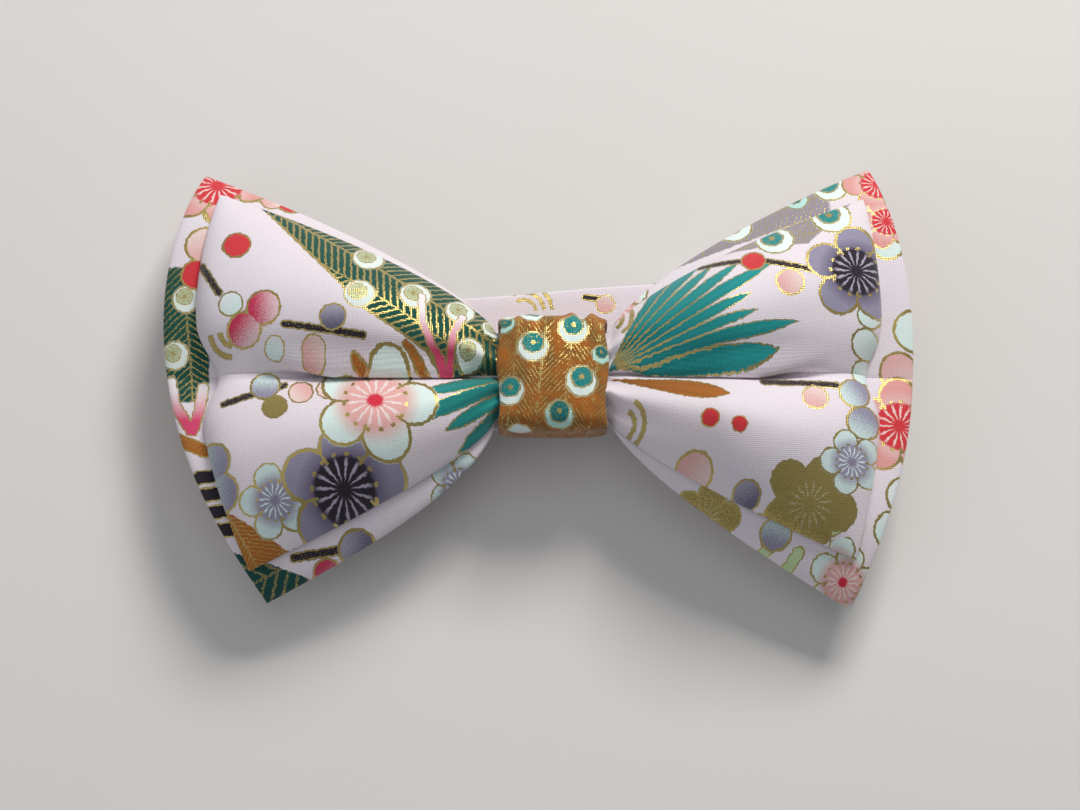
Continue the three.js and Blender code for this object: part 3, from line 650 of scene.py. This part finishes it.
def add_mesh(name, points, faces, prints, material):
    """A mesh from points in mm, with its print coordinates in mm on each corner."""
    mesh = bpy.data.meshes.new(name)
    mesh.from_pydata((np.asarray(points) * MM).tolist(), [], faces)
    layer = mesh.uv_layers.new(name="cloth")
    layer.data.foreach_set("uv", np.asarray(prints, np.float32).ravel())
    mesh.materials.append(material)
    mesh.shade_smooth()
    return add_object(name, mesh)


def thicken(piece, thick, room=None):
    """Gives a surface its cloth's thickness, in mm; room is the share of it that fits at each point."""
    pick(piece)
    wall = piece.modifiers.new("wall", "SOLIDIFY")
    wall.thickness, wall.offset, wall.use_even_offset = thick * MM, -1.0, False
    if room is not None:
        group = piece.vertex_groups.new(name="wall")
        for k, share in enumerate(room):
            group.add([k], float(share), "REPLACE")
        wall.vertex_group = group.name
    bpy.ops.object.modifier_apply(modifier="wall")


def grid_faces(columns, rows):
    """Quads over a grid of points numbered column by column."""
    return [(i * rows + j, (i + 1) * rows + j, (i + 1) * rows + j + 1, i * rows + j + 1)
            for i in range(columns - 1) for j in range(rows - 1)]


# ---------------------------------------------------------------- the bows

PINCH_HALF = 6.95  # half the height of the gathered waist
PINCH_THICK = 2.6  # thickness of one bow's loop at the waist
CLOTH = 0.4  # thickness of the cotton
LINING = 0.2  # thickness of the stiffener
LINING_LIFT = 0.62  # of the stiffener above the bow's back
SLIT_HALF = 4.0  # half the slit in a bow's back, under the knot
PINCH_END = (knot_high.x - knot_low.x) / 2 + 0.3  # where a wing starts, just outside the knot
NEST_LEVEL = sum(c.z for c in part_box("gathering_thread")) / 2 / MM  # the two bows meet here
SIDES = ("left", "right")


def corner(node, across, up):
    """The vertex of a CAD node that lies furthest towards a corner of its plan, in mm from the knot."""
    points = np.array([v.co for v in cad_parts[node].data.vertices]) / MM
    best = points[np.argmax(points[:, 0] * across + points[:, 1] * up * 1.6)]
    return abs(best[0] - KNOT_MIDDLE.x), abs(best[1])


class Wing:
    """Plan outline of one wing, in mm from the knot's middle."""

    def __init__(self, node, side, bulge, notch, swell):
        self.sign = -1 if side == "left" else 1
        self.top_x, self.top_y = corner(node, self.sign, 1)
        self.bottom_x, self.bottom_y = corner(node, self.sign, -1)
        self.bulge, self.notch, self.swell = bulge, notch, swell  # swell: above, below the middle

    def half(self, away, v):
        """Half height of the wing, above its middle line where v is positive and below it elsewhere."""
        def spread(x, y, power):
            share = clamp((away - PINCH_END) / (x - PINCH_END), 0, 1.3)
            return PINCH_HALF + (y - PINCH_HALF) * share**power
        return np.where(v > 0, spread(self.top_x, self.top_y, self.swell[0]),
                        spread(self.bottom_x, self.bottom_y, self.swell[1]))

    def reach(self, v):
        """How far out the end fold lies."""
        chord = lerp(self.bottom_x, self.top_x, (v + 1) / 2)
        return chord + self.bulge * (1 - v * v) - self.notch * hump(v, 0, 0.16)


REAR = {"left": Wing("rear_bow_cloth", "left", 10.5, 0, (0.72, 0.62)),
        "right": Wing("rear_bow_cloth", "right", 8.1, 0, (0.70, 0.74))}
FRONT = {"left": Wing("front_bow_cloth", "left", 5.8, 3.3, (0.72, 0.72)),
         "right": Wing("front_bow_cloth", "right", 3.5, 2.6, (0.72, 0.74))}

LOBE_LIFT = 3.0  # how far the surface between the bows rises under a lobe
CORNER_DROOP, END_DROOP = 4.5, 1.5  # how far it drops at a wing's corners and its whole end
BOW_GAP = 0.15  # from that surface to either bow


def nest_height(wing, x, y):
    """Height of the surface between the two bows."""
    away = abs(x)
    v = clamp(y / wing.half(away, y), -1, 1)
    out = clamp((away - PINCH_END) / (wing.reach(v) - PINCH_END))
    lift = LOBE_LIFT * clamp(out / 0.4) ** 0.7 * (1 - 0.4 * out**3)
    droop = CORNER_DROOP * out * v**4 + END_DROOP * out**4
    return NEST_LEVEL + lift * abs(np.sin(np.pi * v)) ** 0.8 - droop


STRAP_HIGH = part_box("strap_centre")[1] / MM
STRAP_WIDTH = 22.0
STRAP_TURN = math.radians(4.5)
STRAP_RISE = 4.5  # how far above the knot's middle the strap passes
STRAP_CLEARANCE = 0.6  # between the strap and the rear bow's back
SAG_MARGIN, SAG_SLOPE, MOST_SAG = 2, 0.8, 4  # of the back beside the strap


def back_floor(x, y):
    """The rear bow's back stays over the strap, and sags beside it."""
    across = (y - STRAP_RISE) * math.cos(STRAP_TURN) - x * math.sin(STRAP_TURN)
    beyond = abs(across) - STRAP_WIDTH / 2 - SAG_MARGIN
    return STRAP_HIGH.z + STRAP_CLEARANCE - clamp(beyond * SAG_SLOPE, 0, MOST_SAG)


LOBE_TOP = 0.34  # where a lobe starts to fall, as a share of the way from the crease to the seam
UPPER_RISE, LOWER_RISE = 0.30, 0.45  # the upper lobe rises steeply from the crease, the lower gently
CREASE_HALF = 0.04
FOLD_SHARE = 0.38  # of the lower lobe's height that comes from its folded lip


def quarter_round(a):
    """Rises from 0 to 1 as a quarter circle does."""
    return np.sqrt(1 - (1 - clamp(a)) ** 2)


def lobes(v):
    """Height of the two puffed lobes over the crease, from 0 to 1."""
    w = abs(v)
    rise = clamp((w - CREASE_HALF) / LOWER_RISE)
    lower = FOLD_SHARE * quarter_round(rise / 0.16) + (1 - FOLD_SHARE) * np.sin(np.pi / 2 * rise) ** 0.9
    up = np.where(v > 0, quarter_round(w / UPPER_RISE), lower)
    fall = np.cos(np.pi / 2 * clamp((w - LOBE_TOP) / (1 - LOBE_TOP)))
    return up * fall**0.9


COLUMNS = 84  # grid lines along a wing
ROWS = 46  # grid lines across a lobe
WAIST = 4  # grid lines between the wings
ROOM_NEEDED = 1.2  # between front and back, for the cloth's full thickness


def grid_lines():
    """Places along and across a bow: closer at the folds, the seams and the crease."""
    out = np.sin(np.linspace(0, 1, COLUMNS + 1) * np.pi / 2)
    lobe = (1 - np.cos(np.linspace(0, 1, ROWS + 1) * np.pi)) / 2
    across = np.concatenate([-lobe[::-1], lobe[1:]])
    return out, across


SQUARE = 40  # the power that keeps a fold or seam flat until its last millimetre
SEAM_HEIGHT, END_HEIGHT = 1.0, 1.7  # of a loop at its seams and in the middle of its end fold
EDGE_LIFT = 0.5  # how far the middle of an edge lies from the surface between the bows
RIDGE_AT = 0.42  # where the body is full, as a share of the wing
END_VALLEY = 0.75  # how full the crease is at the end fold
PLEATS, SHORT_PLEATS = 0.42, 0.68  # heights of the gathers, long and at the waist
DRAPE, FINE_DRAPE = 0.45, 0.10  # heights of the loose waves


def wing_points(wing, out, across, bow):
    """Front and back points of one wing, in mm from the knot's middle, and their print coordinates.
    u runs from the waist at 0 to the end fold at 1, v from the lower seam at -1 to the upper at 1."""
    u, v = np.meshgrid(out, across, indexing="ij")
    away = PINCH_END + (wing.reach(v) - PINCH_END) * u
    corner_x = PINCH_END + (wing.reach(np.sign(v)) - PINCH_END) * u
    x = wing.sign * away
    y = v * wing.half(corner_x, v)
    nest = nest_height(REAR["left" if wing.sign < 0 else "right"], x, y)
    end = np.sqrt(1 - u**SQUARE)
    seam = np.sqrt(1 - abs(v) ** SQUARE)
    edge = lerp(SEAM_HEIGHT, END_HEIGHT, u**4 * (1 - v * v)) * end * seam
    body = lerp(PINCH_THICK, bow["ridge"], clamp(u / RIDGE_AT) ** 0.85) * (1 - bow["fade"] * u**3)
    open_crease = ease(u, 0.55, 0.98)
    filled = clamp(lerp(bow["valley"], END_VALLEY, open_crease) * lerp(1.5, 1, ease(u, 0, 0.1)))
    flat = (1 - abs(v) ** 3) * 0.9
    cross = filled * flat + (1 - filled) * lobes(v)
    puff = body * cross * np.sqrt(1 - u**9)
    pleat = np.exp(-u / 0.15) * np.sin(v * 12.5 + 1.3 * wing.sign) * SHORT_PLEATS
    pleat += np.exp(-u / 0.50) * ease(u, 0, 0.08) * np.sin(v * 7.0 + 2.0 * wing.sign + u * 2.2) * PLEATS
    drape = np.sin(x * 0.17 + y * 0.11 + bow["phase"]) * np.sin(y * 0.16 - x * 0.05) * DRAPE * u
    drape += np.sin(x * 0.42 - y * 0.23 + 2 * bow["phase"]) * np.sin(y * 0.31 + x * 0.12) * FINE_DRAPE
    soft = seam * end
    ripple = (pleat + drape) * soft * (1 - abs(v) ** 8)
    lip = bow["lip"] * ease(u, 0.03, 0.16) * (1 - ease(u, 0.55, 0.86))
    shift = lip * (-2.1 * hump(v, 0.060, 0.055) + 0.9 * hump(v, -0.015, 0.03))
    shift = shift * clamp(wing.half(corner_x, v) / 20)
    if bow["over"]:
        back = nest + BOW_GAP + EDGE_LIFT - edge / 2
        front = back + edge + puff * soft + ripple
    else:
        front = nest - BOW_GAP - EDGE_LIFT + edge / 2
        deep = front - edge - puff * soft
        back = np.maximum(deep, np.minimum(back_floor(x, y), front - edge))
        front = front + ripple * 0.25
    return np.stack([x, y + shift, front], -1), np.stack([x, y, back], -1), np.stack([x, y], -1)


def make_bow(name, wings, bow, material):
    """One bow: a flattened loop of cloth, closed all round, with a slit in its back under the knot."""
    out, across = grid_lines()
    parts = [wing_points(wings[side], out, across, bow) for side in SIDES]
    left = [part[::-1] for part in parts[0]]
    rows = len(across)
    middle = [np.stack([lerp(a[-1], b[0], (k + 1) / (WAIST + 1)) for k in range(WAIST)])
              for a, b in zip(left, parts[1])]
    front, back, flat = (np.concatenate([a, m, b]) for a, m, b in zip(left, middle, parts[1]))
    columns = len(front)
    count = columns * rows
    number = np.arange(count).reshape(columns, rows)
    under = number.copy()
    under[1:-1, 1:-1] = count + np.arange((columns - 2) * (rows - 2)).reshape(columns - 2, rows - 2)
    points = np.concatenate([front.reshape(-1, 3), back[1:-1, 1:-1].reshape(-1, 3)])
    points[:, 0] += KNOT_MIDDLE.x
    centre = len(out) + WAIST // 2
    faces, prints = [], []
    for i in range(columns - 1):
        for j in range(rows - 1):
            corners = [(i, j), (i + 1, j), (i + 1, j + 1), (i, j + 1)]
            faces.append([number[c] for c in corners])
            prints += [flat[c] for c in corners]
            if i == centre and abs(flat[i, j, 1]) < SLIT_HALF:
                continue
            faces.append([under[c] for c in corners[::-1]])
            prints += [flat[c] * (-1, 1) for c in corners[::-1]]
    piece = add_mesh(name, points, np.array(faces).tolist(), prints, material)
    space = clamp(np.linalg.norm(front - back, axis=2) / ROOM_NEEDED, 0.04, 1)
    thicken(piece, CLOTH, np.concatenate([space.ravel(), space[1:-1, 1:-1].ravel()]))
    return piece


def make_lining(name, wings, bow, material):
    """The stiffener that lies inside a bow, on its back."""
    out, across = grid_lines()
    out, across = out[:-12:3], across[6:-6:3]  # short of the folds and seams
    parts = [wing_points(wings[side], out, across, bow)[1] for side in SIDES]
    points = np.concatenate([parts[0][::-1], parts[1]])
    points[:, :, 2] += LINING_LIFT
    points[:, :, 0] += KNOT_MIDDLE.x
    faces = grid_faces(points.shape[0], points.shape[1])
    flat = points.reshape(-1, 3)
    piece = add_mesh(name, flat, faces, [flat[k][:2] for face in faces for k in face], material)
    thicken(piece, LINING)
    return piece


front_shape = {"ridge": 7.6, "fade": 0.52, "valley": 0.02, "lip": 1.25, "over": True, "phase": 0.4}
rear_shape = {"ridge": 5.4, "fade": 0.45, "valley": 0.55, "lip": 0.0, "over": False, "phase": 2.1}
rear_bow = make_bow("rear_bow", REAR, rear_shape, rear_print())
front_bow = make_bow("front_bow", FRONT, front_shape, front_print())
lining = lining_finish()
rear_lining = make_lining("rear_bow_lining", REAR, rear_shape, lining)
front_lining = make_lining("front_bow_lining", FRONT, front_shape, lining)
for piece, node, flat_size, cut_area in (
    (rear_bow, "rear_bow_cloth", (0.146, 0.120), 0.0112),
    (front_bow, "front_bow_cloth", (0.126, 0.112), 0.0098),
):
    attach(piece, "bow")
    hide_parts(node)
for piece, node, cut_area in (
    (rear_lining, "rear_bow_interfacing", 0.0042),
    (front_lining, "front_bow_interfacing", 0.0037),
):
    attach(piece, "bow")
    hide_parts(node)

# ---------------------------------------------------------------- the knot

KNOT_HALF = (knot_high.y - knot_low.y) / 2
KNOT_WIDTH = knot_high.x - knot_low.x
KNOT_FOLD = 0.75  # how far the band's folded edges roll in
KNOT_ROUND = 2.6  # radius of the band's bends
KNOT_CROWN = 1.5  # how far the middle of its face rises
KNOT_AROUND, KNOT_ACROSS = 132, 46  # grid lines


def knot_section(half, low, top):
    """Outline of the band in Y and Z from the middle of its face, right round to it again."""
    outline = [(0.0, top)]
    for y, z, k in ((half, top, 0), (half, low, 1), (-half, low, 2), (-half, top, 3)):
        cy = y - math.copysign(KNOT_ROUND, y)
        cz = z - (KNOT_ROUND if z == top else -KNOT_ROUND)
        for a in np.linspace(math.pi / 2, 0, 9) - k * math.pi / 2:
            outline.append((cy + KNOT_ROUND * math.cos(a), cz + KNOT_ROUND * math.sin(a)))
    outline = np.array([*outline, (0.0, top)])
    along = distances(outline)
    at = np.linspace(0, along[-1], KNOT_AROUND + 1)[:-1]
    return np.stack([np.interp(at, along, outline[:, k]) for k in (0, 1)], -1), at, along[-1]


def tuck(rim, sign, normal):
    """Rows of points that roll the cloth of an edge inwards."""
    rows = []
    for share in (0.35, 0.7, 1.0):
        turn = share * math.pi / 2
        inwards = KNOT_FOLD * (1 - math.cos(turn))
        out = np.full(KNOT_AROUND, sign * KNOT_FOLD * 0.35 * math.sin(turn))
        rows.append(rim + np.stack([out, -normal[:, 0] * inwards, -normal[:, 1] * inwards], -1))
    return rows


def make_knot(material):
    """The band round the waist, with a crowned face, soft folds and a few gathers at its top edge."""
    section, along, total = knot_section(KNOT_HALF - 0.1, knot_low.z + 0.1, knot_high.z - 1.4)
    normal = normals(np.roll(section, -1, 0) - np.roll(section, 1, 0))
    s = np.linspace(-1, 1, KNOT_ACROSS + 1)
    s = (np.sign(s) * (1 - (1 - abs(s)) ** 1.4))[:, None]
    y, z = section[:, 0][None], section[:, 1][None]
    top = ease(z, 17, 19.4)
    wide = KNOT_WIDTH / 2 - 0.25 - 0.35 * top * (y / KNOT_HALF) ** 2
    wide = wide + 0.25 * np.sin(y * 0.55 + 0.8) * top
    x = s * wide
    crown = top * KNOT_CROWN * (1 - (y / KNOT_HALF) ** 2) * (1 - abs(s) ** 2.6)
    edge_drop = -0.55 * abs(s) ** 6
    folds = np.sin(x * 1.25 + y * 0.10 + 0.6) * 0.16 + np.sin(x * 2.7 - y * 0.22) * 0.09
    folds = folds * top * (1 - abs(s) ** 6) * (0.5 + 0.5 * abs(y) / KNOT_HALF)
    rolls = 0.55 * hump(x, 2.9, 0.9) + 0.50 * hump(x, 6.3, 0.8)
    rolls = rolls - 0.45 * hump(x, 4.6, 0.6) + 0.25 * hump(x, -3.4, 1.5)
    gathers = rolls * hump(y, 9.4, 2.2) * ease(z, 11, 16)
    grow = crown + edge_drop + folds + gathers
    band = np.stack([x, y + normal[:, 0][None] * grow, z + normal[:, 1][None] * grow], -1)
    grid = np.stack([*tuck(band[0], -1, normal)[::-1], *band, *tuck(band[-1], 1, normal)])
    grid[:, :, 0] += KNOT_MIDDLE.x
    run = np.where(along > total / 2, along - total, along)
    faces, prints = [], []
    for i in range(len(grid) - 1):
        for j in range(KNOT_AROUND):
            k = (j + 1) % KNOT_AROUND
            ring = [(i, j), (i + 1, j), (i + 1, k), (i, k)]
            faces.append([a * KNOT_AROUND + b for a, b in ring])
            prints += [(grid[a, b, 0] - KNOT_MIDDLE.x, run[j] + (b == k) * total / KNOT_AROUND)
                       for a, b in ring]
    piece = add_mesh("knot_band", grid.reshape(-1, 3), faces, prints, material)
    thicken(piece, CLOTH)
    return piece


knot = make_knot(knot_print())
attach(knot, "bow")
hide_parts("knot_cloth")

# ---------------------------------------------------------------- the neck strap

STRAP_THICK = 0.8
STRAP_STEP, FOLD_STEPS = 1.1, 14  # between points along the strap, and points round a fold
INNER_TURN = 13.6  # where the strap turns out again beside the knot
LAYER_SHORT = 4  # how far the lower layers stop short of the outer fold
HALF_LAYER = 0.45  # half a layer with its gap
LEFT_FOLD, RIGHT_FOLD = 56.0, 53.0  # from the knot's middle along the strap
EYE_BAR, HOOK_BAR, SLIDER = 21.0, 22.0, 33.5  # the same
EYE_LAP, HOOK_LAP, SLIDER_LAP = 13, 1, 8  # how far the cloth comes back past each of them
# Height of the middle of each layer
RUN_LEVELS = {"return": 0.45, "sewn": 2.75, "run": 3.95, "second": 6.25, "third": 7.45, "centre": 8.65}
BAR_LEVEL = (RUN_LEVELS["return"] + RUN_LEVELS["run"]) / 2


def strap_point(along, across, level):
    """A point on the slanted strap, in the row frame's mm."""
    c, s = math.cos(STRAP_TURN), math.sin(STRAP_TURN)
    return (KNOT_MIDDLE.x + along * c - across * s, STRAP_RISE + along * s + across * c, level)


def turn_points(middle, level, radius, start, end):
    """A fold, from one angle to another in degrees."""
    return [(middle + radius * math.cos(a), level + radius * math.sin(a))
            for a in np.linspace(math.radians(start), math.radians(end), FOLD_STEPS)]


def stretch(start, end, level):
    """A straight run at one level."""
    count = max(2, int(abs(end - start) / STRAP_STEP))
    return [(x, level) for x in np.linspace(start, end, count + 1)]


def half_strap(outer, bar, last):
    """Route of one half of the strap, as on the right: out, back in, out, in and round its bar."""
    r = RUN_LEVELS
    fold_top = (r["centre"] - r["third"]) / 2
    inner = (r["third"] - r["second"]) / 2
    lower = (r["second"] - r["run"]) / 2
    round_bar = (r["run"] - r["return"]) / 2
    inner_x = INNER_TURN + inner + HALF_LAYER
    lower_x = outer - LAYER_SHORT - lower - HALF_LAYER
    route = stretch(0, outer, r["centre"])[:-1]
    route += turn_points(outer, (r["centre"] + r["third"]) / 2, fold_top, 90, -90)
    route += stretch(outer, inner_x, r["third"])[1:-1]
    route += turn_points(inner_x, (r["third"] + r["second"]) / 2, inner, 90, 270)
    route += stretch(inner_x, lower_x, r["second"])[1:-1]
    route += turn_points(lower_x, (r["second"] + r["run"]) / 2, lower, 90, -90)
    route += stretch(lower_x, bar, r["run"])[1:-1]
    route += turn_points(bar, BAR_LEVEL, round_bar, 90, 270)
    route += stretch(bar, last, r["return"])[1:]
    return np.array(route)


def make_band(name, route, mirror, start_print, material):
    """A flat doubled band along a route, its long edges folded round."""
    along = distances(route) + start_print
    normal = normals(np.gradient(route, axis=0))
    r = STRAP_THICK / 2
    half = STRAP_WIDTH / 2
    ring = []
    for sign in (1, -1):
        ring += [(a, sign * r) for a in np.linspace(half - r, -(half - r), 15) * sign]
        ring += [(-sign * (half - r + r * math.sin(a)), sign * r * math.cos(a))
                 for a in np.linspace(0, math.pi, 6)[1:-1]]
    count, around = len(route), len(ring)
    points, flats = [], []
    for i in range(count):
        wave = 0.10 * math.sin(along[i] * 0.21 + start_print)
        for across, lift in ring:
            x = route[i, 0] + normal[i, 0] * lift
            z = route[i, 1] + normal[i, 1] * lift
            y = across + wave
            if mirror:
                x, y = -x, -y
            points.append(strap_point(x, y, z))
            flats.append((along[i] * (-1 if mirror else 1), y))
    faces = []
    for i in range(count - 1):
        for j in range(around):
            k = (j + 1) % around
            faces.append([i * around + j, i * around + k, (i + 1) * around + k, (i + 1) * around + j])
    faces.append(list(range(around))[::-1])
    faces.append([(count - 1) * around + j for j in range(around)])
    piece = add_mesh(name, points, faces, [flats[k] for face in faces for k in face], material)
    pick(piece)
    bpy.ops.object.mode_set(mode="EDIT")
    bpy.ops.mesh.select_all(action="SELECT")
    bpy.ops.mesh.normals_make_consistent(inside=False)
    bpy.ops.object.mode_set(mode="OBJECT")
    bpy.ops.object.shade_smooth_by_angle(angle=math.radians(50))
    return piece


strap_cloth = strap_print()
left_route = half_strap(LEFT_FOLD, EYE_BAR, EYE_BAR + EYE_LAP)
right_route = half_strap(RIGHT_FOLD, HOOK_BAR, HOOK_BAR + HOOK_LAP)
strap_left = make_band("strap_left", left_route, True, 0, strap_cloth)
strap_right = make_band("strap_right", right_route, False, 0, strap_cloth)
adjuster_turn = (RUN_LEVELS["sewn"] - RUN_LEVELS["return"]) / 2
adjuster_end = SLIDER + 0.8  # just past the slider's middle bar
adjuster_route = np.array(
    stretch(HOOK_BAR + 1.1, adjuster_end, RUN_LEVELS["return"])[:-1]
    + turn_points(adjuster_end, RUN_LEVELS["return"] + adjuster_turn, adjuster_turn, -90, 90)
    + stretch(adjuster_end, SLIDER - SLIDER_LAP, RUN_LEVELS["sewn"])[1:])
strap_end = make_band("strap_adjuster", adjuster_route, False, 150, strap_cloth)


for piece, body, joint, nodes, route in (
    (strap_left, "left_tail", "left_tail_unfold", ("strap_left_tail", "strap_centre"), left_route),
    (strap_right, "right_tail", "right_tail_unfold", ("strap_right_tail", "strap_centre"), right_route),
):
    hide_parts(*nodes)
    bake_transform(piece)
hook_side = [c * MM for c in strap_point(HOOK_BAR + 2, 0, 0)]
slider_side = [c * MM for c in strap_point(SLIDER - 3, 0, 0)]
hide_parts("strap_adjuster_end")
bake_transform(strap_end)

# ---------------------------------------------------------------- fittings, threads and stiffeners

nickel = nickel_finish()
BEVEL = 0.18 * MM


def add_fitting(node):
    """A plated fitting made from its CAD node, with its sharp edges rounded over."""
    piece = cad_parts[node].copy()
    piece.data = piece.data.copy()
    for key in list(piece.keys()):
        del piece[key]
    piece.parent = None
    piece.name = node + "_plated"
    bpy.context.scene.collection.objects.link(piece)
    pick(piece)
    bpy.ops.object.mode_set(mode="EDIT")
    bpy.ops.mesh.select_all(action="SELECT")
    bpy.ops.mesh.remove_doubles(threshold=1e-6)
    bpy.ops.mesh.dissolve_limited(angle_limit=math.radians(1))
    bpy.ops.object.mode_set(mode="OBJECT")
    rounding = piece.modifiers.new("rounding", "BEVEL")
    rounding.width, rounding.segments, rounding.angle_limit = BEVEL, 3, math.radians(35)
    bpy.ops.object.modifier_apply(modifier="rounding")
    bpy.ops.object.shade_smooth_by_angle(angle=math.radians(35))
    piece.data.materials.clear()
    piece.data.materials.append(nickel)
    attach(piece, node)
    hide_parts(node)


for node in ("eye", "hook", "slider"):
    add_fitting(node)


def dress(node, material):
    """Gives its material to a CAD node that is shown as it is."""
    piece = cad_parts[node]
    piece.data.materials.clear()
    piece.data.materials.append(material)


thread = thread_finish()
for node in ("gathering_thread", "knot_tack_stitches", "eye_end_stitches", "slider_end_stitches"):
    dress(node, thread)
dress("knot_interfacing", lining)
